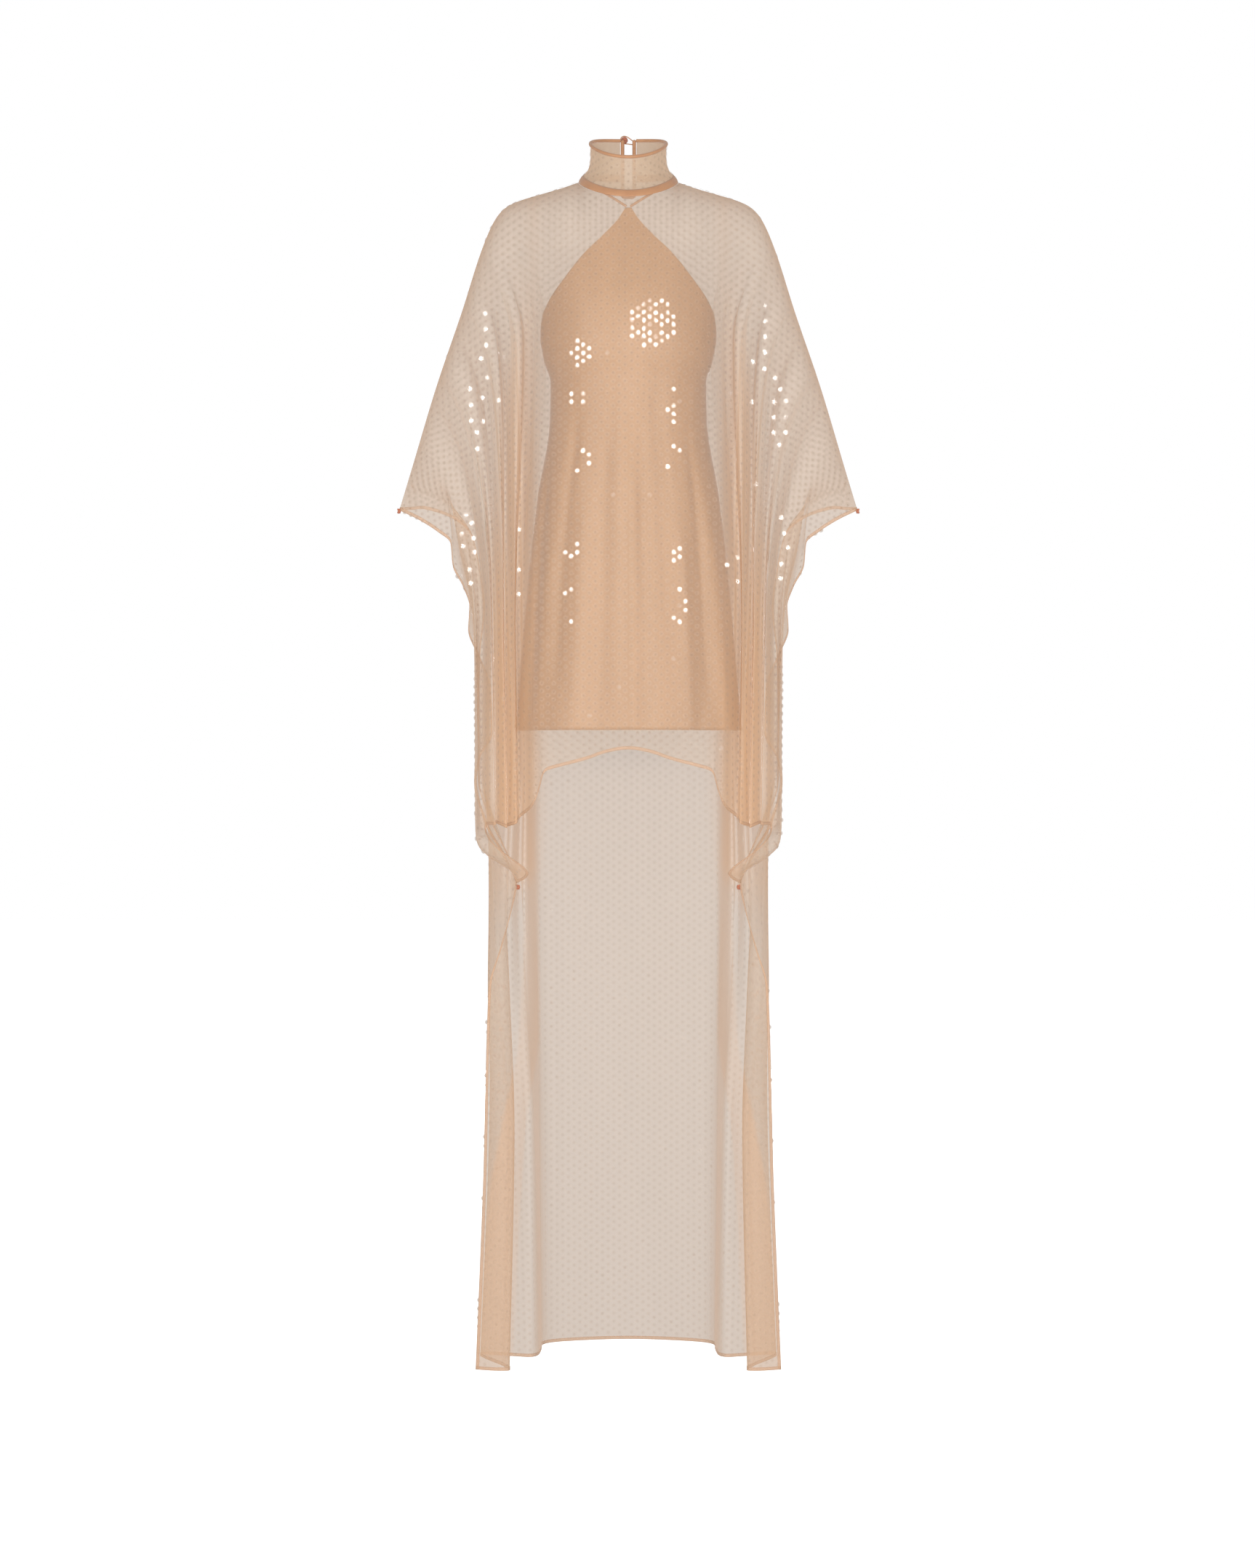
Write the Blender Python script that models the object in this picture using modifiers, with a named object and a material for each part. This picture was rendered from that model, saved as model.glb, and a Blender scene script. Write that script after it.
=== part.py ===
"""Sheer sequinned kaftan: a high collar, a short front panel and a floor-length back panel whose sides
fall from the arms as cape sleeves, with a halter slip hung from the neck seam inside.

Metres, +Z up. The front faces -Y and +X is the wearer's left. The origin is the middle of the neck,
level with the ends of the shoulder line, where the wearer carries the garment.
"""

import bpy
import numpy as np

COLLECTION = "kaftan"
CLOTH = 0.001  # wall of every cloth piece
GAP = 0.0003  # between neighbouring pieces
HALF_CUT = 0.620  # flat distance from the middle of a panel to its side edge

# Neck ring, where collar and panels meet, and the top rim of the collar
NECK_HALF_WIDTH = 0.0655
NECK_HALF_DEPTH = 0.0600
NECK_SIDE_HEIGHT = 0.0035
NECK_TILT = 0.0178
NECK_DIP = 0.0098
NECK_SPREAD = 1.03  # the seam band widens this much towards the panels
RIM_HEIGHT = 0.0488
RIM_TILT = 0.0185
RIM_DIP = 0.0033
BAND_WIDTH = 0.0090  # neck seam band
BINDING_RADIUS = 0.0026
SLIT_HALF_WIDTH = 0.0055
SLIT_BOTTOM = -0.010
SLIT_CLOTH = SLIT_HALF_WIDTH + 2 * BINDING_RADIUS + 2 * GAP

# How quickly the cloth leaves the arm line: inward, and out to the front or back
ARM_REACH = 0.060
ARM_ROUND = 0.055
# The side edge's own waves fade out at these flat distances, at the wrist and below it
EDGE_PULL_TOP = 0.47
EDGE_PULL_LOW = 0.575


def table(columns, *rows):
    """Rows of numbers under named columns."""
    return {name: np.array([row[i] for row in rows], float) for i, name in enumerate(columns.split())}


# The shoulder and arm line from the neck to the wrist, by flat distance from the panel's middle
ARM_LINE = table(
    "flat x y z",
    (0.0655, 0.0695, 0.000, -0.0013),
    (0.090, 0.0900, 0.000, -0.0085),
    (0.127, 0.1240, 0.000, -0.0185),
    (0.155, 0.1500, 0.000, -0.0265),
    (0.1745, 0.1675, 0.000, -0.0350),
    (0.194, 0.1810, -0.001, -0.0490),
    (0.234, 0.1980, -0.003, -0.0850),
    (0.335, 0.2290, -0.008, -0.1810),
    (0.445, 0.2640, -0.013, -0.2850),
    (0.5625, 0.2975, -0.018, -0.3980),
    (0.620, 0.3140, -0.020, -0.4530),
)

# Plan of the front panel at these heights and at its hem: each row is one fold, from middle to side edge
FRONT_HEIGHTS = (-0.10, -0.22, -0.62)
FRONT_YOKE = table(
    "flat x y",
    (0.000, 0.000, -0.094),
    (0.060, 0.060, -0.090),
    (0.120, 0.120, -0.072),
    (0.170, 0.162, -0.048),
    (0.235, 0.185, -0.050),
    (0.335, 0.198, -0.048),
    (0.620, 0.250, -0.040),
)
FRONT_CHEST = table(
    "flat x y",
    (0.000, 0.000, -0.124),
    (0.060, 0.059, -0.120),
    (0.105, 0.098, -0.106),
    (0.140, 0.114, -0.084),
    (0.185, 0.139, -0.054),
    (0.225, 0.148, -0.082),
    (0.270, 0.168, -0.044),
    (0.310, 0.176, -0.078),
    (0.350, 0.193, -0.038),
    (0.400, 0.203, -0.074),
    (0.450, 0.222, -0.030),
    (0.500, 0.233, -0.050),
    (0.560, 0.255, -0.022),
    (0.620, 0.285, -0.030),
)
FRONT_HIP = table(
    "flat x y",
    (0.000, 0.000, -0.132),
    (0.060, 0.060, -0.131),
    (0.112, 0.111, -0.130),
    (0.145, 0.134, -0.136),
    (0.190, 0.156, -0.084),
    (0.235, 0.151, -0.142),
    (0.285, 0.171, -0.080),
    (0.335, 0.167, -0.135),
    (0.385, 0.186, -0.070),
    (0.435, 0.183, -0.122),
    (0.490, 0.199, -0.058),
    (0.545, 0.208, -0.089),
    (0.590, 0.209, -0.050),
    (0.620, 0.210, -0.034),
)
FRONT_HEM = table(
    "flat x y z late",
    (0.000, 0.000, -0.142, -0.780, 1),
    (0.035, 0.035, -0.142, -0.787, 1),
    (0.053, 0.053, -0.140, -0.795, 1),
    (0.097, 0.097, -0.137, -0.806, 1),
    (0.113, 0.115, -0.133, -0.811, 1),
    (0.128, 0.118, -0.141, -0.830, 1),
    (0.145, 0.128, -0.150, -0.860, 1),
    (0.190, 0.149, -0.100, -0.874, 1),
    (0.235, 0.149, -0.146, -0.882, 1),
    (0.285, 0.167, -0.088, -0.886, 1),
    (0.335, 0.161, -0.142, -0.888, 1),
    (0.385, 0.182, -0.080, -0.880, 1),
    (0.435, 0.177, -0.126, -0.884, 1),
    (0.490, 0.197, -0.058, -0.8825, 60),
    (0.532, 0.1855, -0.0955, -0.910, 60),
    (0.565, 0.1325, -0.110, -0.945, 24),
    (0.595, 0.138, -0.088, -0.956, 12),
    (0.620, 0.152, -0.060, -0.963, 5),
)

# Side edge of the front panel, from the wrist tack down to the lower tack
FRONT_EDGE = table(
    "drop x y z",
    (0.000, 0.3140, -0.020, -0.453),
    (0.016, 0.2860, -0.033, -0.467),
    (0.032, 0.2610, -0.038, -0.483),
    (0.052, 0.2430, -0.034, -0.499),
    (0.080, 0.2400, -0.026, -0.530),
    (0.108, 0.2260, -0.018, -0.558),
    (0.135, 0.2175, -0.018, -0.585),
    (0.165, 0.2190, -0.022, -0.617),
    (0.195, 0.2080, -0.018, -0.648),
    (0.240, 0.1890, -0.012, -0.698),
    (0.302, 0.1870, -0.012, -0.758),
    (0.340, 0.2040, -0.018, -0.794),
    (0.372, 0.2080, -0.022, -0.824),
    (0.432, 0.1920, -0.030, -0.884),
    (0.470, 0.1700, -0.046, -0.922),
    (0.510, 0.1520, -0.060, -0.963),
)

# Plan of the back panel at these heights, the last one its hem
BACK_HEIGHTS = (-0.10, -0.22, -0.62, -0.79, -0.96, -1.105, -1.30, -1.618)
BACK_YOKE = table(
    "flat x y",
    (0.000, 0.000, 0.086),
    (0.060, 0.060, 0.084),
    (0.120, 0.120, 0.074),
    (0.170, 0.162, 0.056),
    (0.235, 0.185, 0.048),
    (0.335, 0.198, 0.042),
    (0.620, 0.250, 0.030),
)
BACK_CHEST = table(
    "flat x y",
    (0.000, 0.000, 0.108),
    (0.060, 0.058, 0.107),
    (0.115, 0.108, 0.100),
    (0.160, 0.136, 0.082),
    (0.200, 0.152, 0.048),
    (0.240, 0.162, 0.082),
    (0.285, 0.180, 0.040),
    (0.330, 0.189, 0.074),
    (0.380, 0.206, 0.032),
    (0.430, 0.217, 0.060),
    (0.480, 0.236, 0.024),
    (0.540, 0.246, 0.038),
    (0.620, 0.262, 0.016),
)
BACK_HIP = table(
    "flat x y",
    (0.000, 0.000, 0.124),
    (0.060, 0.060, 0.123),
    (0.122, 0.120, 0.122),
    (0.152, 0.132, 0.108),
    (0.196, 0.147, 0.048),
    (0.240, 0.151, 0.108),
    (0.285, 0.166, 0.040),
    (0.335, 0.169, 0.100),
    (0.385, 0.184, 0.034),
    (0.435, 0.188, 0.088),
    (0.482, 0.199, 0.028),
    (0.522, 0.209, 0.044),
    (0.575, 0.212, 0.016),
    (0.620, 0.206, 0.004),
)
BACK_LOW_HIP = table(
    "flat x y",
    (0.000, 0.000, 0.131),
    (0.060, 0.060, 0.130),
    (0.124, 0.121, 0.128),
    (0.152, 0.132, 0.110),
    (0.198, 0.145, 0.050),
    (0.240, 0.147, 0.106),
    (0.290, 0.160, 0.038),
    (0.340, 0.165, 0.094),
    (0.388, 0.183, 0.040),
    (0.430, 0.192, 0.058),
    (0.475, 0.199, 0.040),
    (0.530, 0.205, 0.022),
    (0.580, 0.2065, 0.008),
    (0.620, 0.208, -0.004),
)
BACK_TACK = table(
    "flat x y",
    (0.000, 0.000, 0.140),
    (0.060, 0.060, 0.138),
    (0.125, 0.122, 0.134),
    (0.152, 0.132, 0.112),
    (0.200, 0.144, 0.068),
    (0.240, 0.153, 0.092),
    (0.300, 0.163, 0.046),
    (0.345, 0.172, 0.070),
    (0.400, 0.186, 0.044),
    (0.440, 0.195, 0.012),
    (0.500, 0.184, -0.018),
    (0.560, 0.168, -0.0385),
    (0.620, 0.152, -0.050),
)
BACK_THIGH = table(
    "flat x y",
    (0.000, 0.000, 0.152),
    (0.060, 0.060, 0.149),
    (0.126, 0.124, 0.140),
    (0.170, 0.131, 0.098),
    (0.225, 0.141, 0.064),
    (0.265, 0.151, 0.060),
    (0.315, 0.163, 0.042),
    (0.360, 0.178, 0.053),
    (0.410, 0.193, 0.036),
    (0.445, 0.195, 0.008),
    (0.530, 0.158, -0.048),
    (0.570, 0.168, -0.0655),
    (0.620, 0.190, -0.064),
)
BACK_KNEE = table(
    "flat x y",
    (0.000, 0.000, 0.174),
    (0.060, 0.060, 0.167),
    (0.130, 0.123, 0.148),
    (0.195, 0.128, 0.086),
    (0.262, 0.132, 0.022),
    (0.310, 0.156, 0.046),
    (0.370, 0.190, 0.050),
    (0.410, 0.194, 0.012),
    (0.520, 0.148, -0.080),
    (0.560, 0.166, -0.100),
    (0.620, 0.195, -0.090),
)
BACK_HEM = table(
    "flat x y",
    (0.000, 0.000, 0.216),
    (0.060, 0.062, 0.202),
    (0.130, 0.123, 0.170),
    (0.195, 0.121, 0.098),
    (0.262, 0.126, 0.008),
    (0.310, 0.160, 0.026),
    (0.370, 0.208, 0.048),
    (0.410, 0.200, 0.006),
    (0.525, 0.152, -0.122),
    (0.570, 0.176, -0.128),
    (0.620, 0.2060, -0.112),
)

# Side edge of the back panel: nearly level from the wrist, down to the lower tack, then the train
BACK_EDGE = table(
    "drop x y z",
    (0.000, 0.3140, -0.020, -0.4530),
    (0.012, 0.2990, -0.010, -0.4520),
    (0.024, 0.2840, -0.002, -0.4500),
    (0.038, 0.2640, 0.003, -0.4540),
    (0.054, 0.2380, 0.003, -0.4650),
    (0.078, 0.2160, -0.001, -0.4860),
    (0.110, 0.2050, -0.003, -0.5300),
    (0.160, 0.1980, -0.003, -0.5900),
    (0.205, 0.2040, -0.004, -0.6500),
    (0.290, 0.2060, -0.005, -0.7400),
    (0.372, 0.2050, -0.008, -0.8240),
    (0.432, 0.1850, -0.026, -0.8840),
    (0.475, 0.1640, -0.040, -0.9260),
    (0.512, 0.1520, -0.051, -0.9630),
    (0.545, 0.1588, -0.0565, -0.9980),
    (0.600, 0.1750, -0.060, -1.0530),
    (0.652, 0.1900, -0.064, -1.1050),
    (0.760, 0.1935, -0.076, -1.2130),
    (0.900, 0.1962, -0.092, -1.3530),
    (1.020, 0.2003, -0.102, -1.4730),
    (1.165, 0.2060, -0.112, -1.6180),
)

# Slip by height: half-width of the cloth, and half-width and depths of the oval it lies on
SLIP = table(
    "z edge wide front back",
    (-0.044, 0.004, 0.120, 0.064, 0.070),
    (-0.060, 0.014, 0.120, 0.069, 0.074),
    (-0.082, 0.034, 0.121, 0.077, 0.078),
    (-0.106, 0.059, 0.122, 0.085, 0.082),
    (-0.140, 0.087, 0.123, 0.094, 0.085),
    (-0.170, 0.109, 0.122, 0.100, 0.087),
    (-0.190, 0.118, 0.1215, 0.102, 0.088),
    (-0.216, 0.121, 0.121, 0.103, 0.088),
    (-0.247, 0.116, 0.116, 0.100, 0.086),
    (-0.278, 0.107, 0.107, 0.095, 0.083),
    (-0.330, 0.108, 0.108, 0.093, 0.083),
    (-0.430, 0.124, 0.124, 0.097, 0.090),
    (-0.560, 0.139, 0.139, 0.102, 0.097),
    (-0.680, 0.149, 0.149, 0.106, 0.101),
    (-0.755, 0.156, 0.156, 0.108, 0.103),
)
SLIP_BACK_TOP = -0.216
SLIP_FLARES = table(
    "angle depth width",
    (-68, 0.0040, 16),
    (-38, -0.0030, 14),
    (-14, 0.0028, 10),
    (11, -0.0026, 12),
    (34, 0.0036, 12),
    (62, -0.0030, 15),
)

# Net of each panel: flat distances across half of it, and how far down each row lies
CENTRE_STEPS = (0.0, 0.020, 0.038, 0.052, 0.061, 0.0655, 0.080, 0.1)
FOLD_STEP = 0.0158
FRONT_ROWS = (0, 0.02, 0.06, 0.115, 0.185, 0.265, 0.35, 0.435, 0.52, 0.605, 0.69, 0.77, 0.84, 0.90, 0.94, 0.97, 1)
BACK_ROWS = (0, 0.0115, 0.04, 0.07, 0.105, 0.145, 0.19, 0.24, 0.29, 0.335, 0.375, 0.41, 0.445, 0.48, 0.52, 0.565,
             0.615, 0.675, 0.745, 0.82, 0.905, 1)


def through(knots, values, at):
    """Smooth curve through the values that never swings past them."""
    step = np.diff(knots)
    slope = np.diff(values) / step
    lean = np.zeros_like(values)
    same = slope[1:] * slope[:-1] > 0
    lean[1:-1][same] = 2 * slope[1:][same] * slope[:-1][same] / (slope[1:] + slope[:-1])[same]
    lean[0] = slope[0]
    lean[-1] = slope[-1]
    i = np.clip(np.searchsorted(knots, at) - 1, 0, len(knots) - 2)
    t = np.clip((at - knots[i]) / step[i], 0, 1)
    start = (1 + 2 * t) * (1 - t) ** 2 * values[i] + t * (1 - t) ** 2 * step[i] * lean[i]
    end = t * t * (3 - 2 * t) * values[i + 1] + t * t * (t - 1) * step[i] * lean[i + 1]
    return start + end


def rounded(knots, values, at, mirrored=1):
    """Curve that rounds each corner of the folds and passes the middle of every leg."""
    first = mirrored * values[1]
    middles = np.concatenate([[(first + values[0]) / 2], (values[1:] + values[:-1]) / 2])
    places = np.concatenate([[-knots[1] / 2], (knots[1:] + knots[:-1]) / 2])
    k = np.clip(np.searchsorted(places, at) - 1, 0, len(places) - 2)
    t = np.clip((at - places[k]) / (places[k + 1] - places[k]), 0, 1)
    bend = (1 - t) ** 2 * middles[k] + 2 * t * (1 - t) * values[k] + t * t * middles[k + 1]
    last = np.clip((at - places[-1]) / (knots[-1] - places[-1]), 0, 1)
    tail = middles[-1] + last * (values[-1] - middles[-1])
    return np.where(at > places[-1], tail, bend)


def neck_height(angle):
    """Height of the neck ring; the angle runs from 0 at the front to pi at the back."""
    return NECK_SIDE_HEIGHT - NECK_TILT * np.cos(angle) - NECK_DIP * np.cos(angle) ** 2


def top_line(flat, side):
    """Where each column of a panel starts: under the neck band, then along the arm line."""
    angle = np.arcsin(np.clip(flat / NECK_HALF_WIDTH, 0, 1))
    place = angle if side < 0 else np.pi - angle
    on_arm = flat > NECK_HALF_WIDTH
    grow = NECK_SPREAD + 2 * CLOTH / NECK_HALF_WIDTH
    under_band = neck_height(place) - BAND_WIDTH / 2 - GAP
    x = np.where(on_arm, through(ARM_LINE["flat"], ARM_LINE["x"], flat), flat * grow)
    y = np.where(on_arm, through(ARM_LINE["flat"], ARM_LINE["y"], flat), 0)
    y = y + side * NECK_HALF_DEPTH * grow * np.cos(angle)
    z = np.where(on_arm, through(ARM_LINE["flat"], ARM_LINE["z"], flat), under_band)
    return x, y, z


def hanging(sections, heights, flat, z):
    """Plan of the hanging cloth at each height z, between the sections at the given heights."""
    x = np.stack([rounded(s["flat"], s["x"], flat, -1) for s in sections])
    y = np.stack([rounded(s["flat"], s["y"], flat) for s in sections])
    out_x = np.empty_like(z)
    out_y = np.empty_like(z)
    for column in range(len(flat)):
        knots = -heights[:, column]
        out_x[:, column] = through(knots, x[:, column], -z[:, column])
        out_y[:, column] = through(knots, y[:, column], -z[:, column])
    return out_x, out_y


def smooth_step(value, low, high):
    t = np.clip((value - low) / (high - low), 0, 1)
    return t * t * (3 - 2 * t)


def panel(side, flat, share):
    """Points of half a panel, rows down and columns across; side is -1 in front and 1 behind."""
    share = np.asarray(share, float)
    top_x, top_y, top_z = top_line(flat, side)
    if side < 0:
        sections = (FRONT_YOKE, FRONT_CHEST, FRONT_HIP, FRONT_HIP)
        heights = FRONT_HEIGHTS
        hem = rounded(FRONT_HEM["flat"], FRONT_HEM["z"], flat)
    else:
        sections = (BACK_YOKE, BACK_CHEST, BACK_HIP, BACK_LOW_HIP, BACK_TACK, BACK_THIGH, BACK_KNEE, BACK_HEM)
        heights = BACK_HEIGHTS[:-1]
        hem = np.full_like(flat, BACK_HEIGHTS[-1])
    z = top_z + (hem - top_z) * share[:, None]
    levels = np.stack([np.full_like(flat, height) for height in heights] + [hem])
    x, y = hanging(sections, levels, flat, z)
    if side < 0:
        late = np.interp(flat, FRONT_HEM["flat"], FRONT_HEM["late"])
        down = np.clip((heights[-1] - z) / (heights[-1] - hem), 0, 1) ** late
        x = x + down * (rounded(FRONT_HEM["flat"], FRONT_HEM["x"], flat, -1) - x)
        y = y + down * (rounded(FRONT_HEM["flat"], FRONT_HEM["y"], flat) - y)
    drop = top_z - z
    free_x = hanging(sections, levels, flat, top_z[None, :])[0]
    x = x + (top_x - free_x[0]) * np.exp(-drop / ARM_REACH)
    roundness = 1 - 0.5 * smooth_step(flat, 0.03, 0.09)
    leave = (1 - np.exp(-drop / ARM_ROUND / roundness)) ** roundness
    y = top_y + (y - top_y) * leave
    points = np.stack([x, y, z], axis=-1)
    edge = FRONT_EDGE if side < 0 else BACK_EDGE
    line = np.stack([through(edge["drop"], edge[name], drop[:, -1]) for name in "xyz"], axis=-1)
    line[-1] = [edge[name][-1] for name in "xyz"]
    inner = EDGE_PULL_TOP + (EDGE_PULL_LOW - EDGE_PULL_TOP) * smooth_step(drop[:, -1], 0, 0.12)
    pull = smooth_step(flat[None, :], inner[:, None], HALF_CUT)[:, :, None]
    points = points + pull * (line - points[:, -1])[:, None, :]
    points[0] = np.stack([top_x, top_y, top_z], axis=-1)
    points[0, :, 1] += side * (CLOTH / 2 + GAP) * smooth_step(flat, 0.05, 0.066)
    return points


def mirrored(half):
    """A whole net from its half at +X, whose first column is the middle."""
    other = half[:, :0:-1] * np.array([-1, 1, 1])
    return np.concatenate([other, half], axis=1)


def material(name, colour, roughness, metallic=0.0):
    made = bpy.data.materials.new(name)
    made.use_nodes = True
    shader = made.node_tree.nodes["Principled BSDF"]
    shader.inputs["Base Color"].default_value = (*colour, 1)
    shader.inputs["Roughness"].default_value = roughness
    shader.inputs["Metallic"].default_value = metallic
    return made


def place(name, mesh, finish):
    obj = bpy.data.objects.new(name, mesh)
    obj.data.materials.append(finish)
    collection.objects.link(obj)
    return obj


def bend(points, pair):
    """How far two neighbouring triangles are from lying in one plane."""
    first, second = [np.cross(points[b] - points[a], points[c] - points[a]) for a, b, c in pair]
    return -np.dot(first, second) / np.linalg.norm(first) / np.linalg.norm(second)


def cloth(name, net, finish, skip=None, flip=False):
    """An open net of points given the thickness of the cloth; skip(row, column) leaves a cell out.

    Each cell is two triangles, split the way that bends it less, so that both sides of a twisted cell match.
    """
    rows, columns = net.shape[:2]
    points = net.reshape(-1, 3)
    faces = []
    for r in range(rows - 1):
        for c in range(columns - 1):
            if skip is not None and skip(r, c):
                continue
            a, b = r * columns + c, (r + 1) * columns + c
            down = ((a, b, b + 1), (a, b + 1, a + 1))
            up = ((a, b, a + 1), (b, b + 1, a + 1))
            pair = down if bend(points, down) < bend(points, up) else up
            faces.extend(face[::-1] if flip else face for face in pair)
    mesh = bpy.data.meshes.new(name)
    mesh.from_pydata([tuple(p) for p in points], [], faces)
    mesh.shade_smooth()
    obj = place(name, mesh, finish)
    wall = obj.modifiers.new("Cloth", "SOLIDIFY")
    wall.thickness = CLOTH
    wall.offset = 0
    return obj


def cord(name, points, radius, finish, resolution=2):
    """A round cord or rolled binding along the points, with filled ends."""
    points = list(points)
    curve = bpy.data.curves.new(name, "CURVE")
    curve.dimensions = "3D"
    curve.bevel_depth = radius
    curve.bevel_resolution = resolution
    curve.use_fill_caps = True
    spline = curve.splines.new("POLY")
    spline.points.add(len(points) - 1)
    for knot, point in zip(spline.points, points):
        knot.co = (*point, 1)
    obj = bpy.data.objects.new(name, curve)
    obj.data.materials.append(finish)
    collection.objects.link(obj)
    return obj


def ball(name, centre, size, finish):
    bpy.ops.mesh.primitive_uv_sphere_add(segments=12, ring_count=8, radius=1, location=centre)
    obj = bpy.context.object
    obj.name = name
    obj.data.name = name
    obj.scale = size
    obj.data.shade_smooth()
    obj.data.materials.append(finish)
    for holder in obj.users_collection:
        holder.objects.unlink(obj)
    collection.objects.link(obj)
    return obj


# Start from an empty file
for old in list(bpy.data.objects):
    bpy.data.objects.remove(old)
collection = bpy.data.collections.new(COLLECTION)
bpy.context.scene.collection.children.link(collection)

TULLE = material("sequin_tulle", (0.80, 0.64, 0.50), 0.45)
SATIN = material("slip_satin", (0.66, 0.42, 0.26), 0.40)
BINDING = material("binding", (0.62, 0.33, 0.19), 0.55)
THREAD = material("thread", (0.45, 0.14, 0.07), 0.60)

# Front and back panels, each with its half sleeves in one piece
side_steps = int(round((HALF_CUT - CENTRE_STEPS[-1]) / FOLD_STEP))
fold_flats = np.linspace(CENTRE_STEPS[-1], HALF_CUT, side_steps + 1)[1:]
flats = np.concatenate([CENTRE_STEPS, fold_flats])
cloth("front_panel", mirrored(panel(-1, flats, FRONT_ROWS)), TULLE)

back_half = panel(1, flats, BACK_ROWS)
slit_rows = int(np.sum(back_half[:, 0, 2] > SLIT_BOTTOM))
slit_column = back_half[:, :1].copy()
slit_column[: slit_rows + 1, 0, 0] = SLIT_CLOTH
slit_column[slit_rows + 1 :, 0, 0] = SLIT_CLOTH / 2
back_half = np.concatenate([slit_column, back_half[:, 1:]], axis=1)
back_net = np.concatenate([back_half[:, ::-1] * np.array([-1, 1, 1]), back_half], axis=1)
middle = back_half.shape[1] - 1
cloth("back_panel", back_net, TULLE, skip=lambda r, c: c == middle and r < slit_rows, flip=True)


# Collar, from the neck seam up to its rim; its ends part at the slit behind
COLLAR = table(
    "up wide deep",
    (0.00, 0.0655, 0.0600),
    (0.10, 0.0615, 0.0572),
    (0.22, 0.0566, 0.0540),
    (0.38, 0.0533, 0.0518),
    (0.62, 0.0520, 0.0512),
    (1.00, 0.0522, 0.0520),
)
COLLAR_COLUMNS = 33
COLLAR_ROWS = 6
BAND_UP = 0.095  # the seam band covers the collar up to here
RIM_UP = 0.945  # and the rolled binding from here on
RIM_RADIUS = 0.0023


def ring_point(angle, up):
    """Point on the collar; the angle runs from 0 at the front, up from 0 at the seam to 1 at the rim."""
    wide = through(COLLAR["up"], COLLAR["wide"], up)
    deep = through(COLLAR["up"], COLLAR["deep"], up)
    low = neck_height(angle)
    rim = RIM_HEIGHT - RIM_TILT * np.cos(angle) - RIM_DIP * np.cos(2 * angle)
    return np.stack([wide * np.sin(angle), -deep * np.cos(angle), low + (rim - low) * up], axis=-1)


def ring_end(up, beside):
    """Angle behind the neck at which the collar is this far beside the middle."""
    return np.pi - np.arcsin(beside / through(COLLAR["up"], COLLAR["wide"], up))


def ring_net(ups):
    """Net round the neck that ends at the slit."""
    up = np.asarray(ups, float)[:, None]
    angle = ring_end(up, SLIT_CLOTH) * np.linspace(-1, 1, COLLAR_COLUMNS)
    return ring_point(angle, up + 0 * angle)


cloth("collar", ring_net(np.linspace(RIM_UP, BAND_UP + 0.01, COLLAR_ROWS)), TULLE, flip=True)

# Neck seam band: a flat strip between the collar and the panels
band_top, band_low = ring_net((BAND_UP, 0.0))
band_low = band_low * np.array([NECK_SPREAD, NECK_SPREAD, 1]) - np.array([0, 0, BAND_WIDTH / 2])
band_low[[0, -1], 0] = (-SLIT_CLOTH, SLIT_CLOTH)
cloth("neck_seam", np.stack([band_top, (band_top + band_low) / 2, band_low]), BINDING, flip=True)

# Rolled binding along the collar's rim
cord("collar_binding", ring_net((1.0,))[0], RIM_RADIUS, BINDING)

# Binding of the slit: down one side of it from the rim, across its end and up the other side
slit_beside = SLIT_HALF_WIDTH + BINDING_RADIUS
collar_ups = np.array([1.0, 0.8, 0.6, 0.4, 0.22, BAND_UP])
side_points = list(ring_point(ring_end(collar_ups, slit_beside), collar_ups))
side_points.append(band_low[-1])
side_points.extend(back_half[:slit_rows, 0])
slit_end = back_half[slit_rows, 0] + np.array([0, 0, BINDING_RADIUS + GAP])
side_points.append(slit_end + np.array([0, 0, BINDING_RADIUS]))
side_points = np.array(side_points)
side_points[:, 0] = slit_beside
turn_points = np.array([slit_end, slit_end])
turn_points[:, 0] = (slit_beside - BINDING_RADIUS, BINDING_RADIUS - slit_beside)
other_side = side_points[::-1] * np.array([-1, 1, 1])
cord("slit_binding", np.concatenate([side_points, turn_points, other_side]), BINDING_RADIUS, BINDING)

# Slip, front and back, with soft flares towards its hem
SIDE_SEAM_ANGLE = 1.5  # the halves meet where the cloth reaches this far round
FLARE_START = 0.33  # depth below the neck where the flares begin, and where they are full
FLARE_FULL = 0.75


def slip_net(side, top, columns, rows):
    heights = SLIP["z"][SLIP["z"] <= top + 1e-6]
    at = np.interp(np.linspace(0, 1, rows), np.linspace(0, 1, len(heights)), heights)
    share = np.linspace(-1, 1, columns)
    edge = through(-SLIP["z"], SLIP["edge"], -at)[:, None]
    wide = through(-SLIP["z"], SLIP["wide"], -at)[:, None]
    deep = through(-SLIP["z"], SLIP["front" if side < 0 else "back"], -at)[:, None]
    reach = np.arcsin(np.clip(edge / wide, 0, 1))
    seam = np.where(reach > SIDE_SEAM_ANGLE, GAP / 2 / deep, 0)
    angle = share[None, :] * (reach - seam)
    flare = np.zeros_like(angle)
    for where, depth, width in zip(SLIP_FLARES["angle"], SLIP_FLARES["depth"], SLIP_FLARES["width"]):
        flare += depth * np.exp(-(((np.degrees(angle) - side * where) / width) ** 2))
    flare *= smooth_step(-at, FLARE_START, FLARE_FULL)[:, None]
    return np.stack([(wide + flare) * np.sin(angle), side * (deep + flare) * np.cos(angle),
                     at[:, None] + 0 * angle], axis=-1)


cloth("slip_front", slip_net(-1, SLIP["z"][0], 19, 15), SATIN)
cloth("slip_back", slip_net(1, SLIP_BACK_TOP, 19, 9), SATIN, flip=True)

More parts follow.
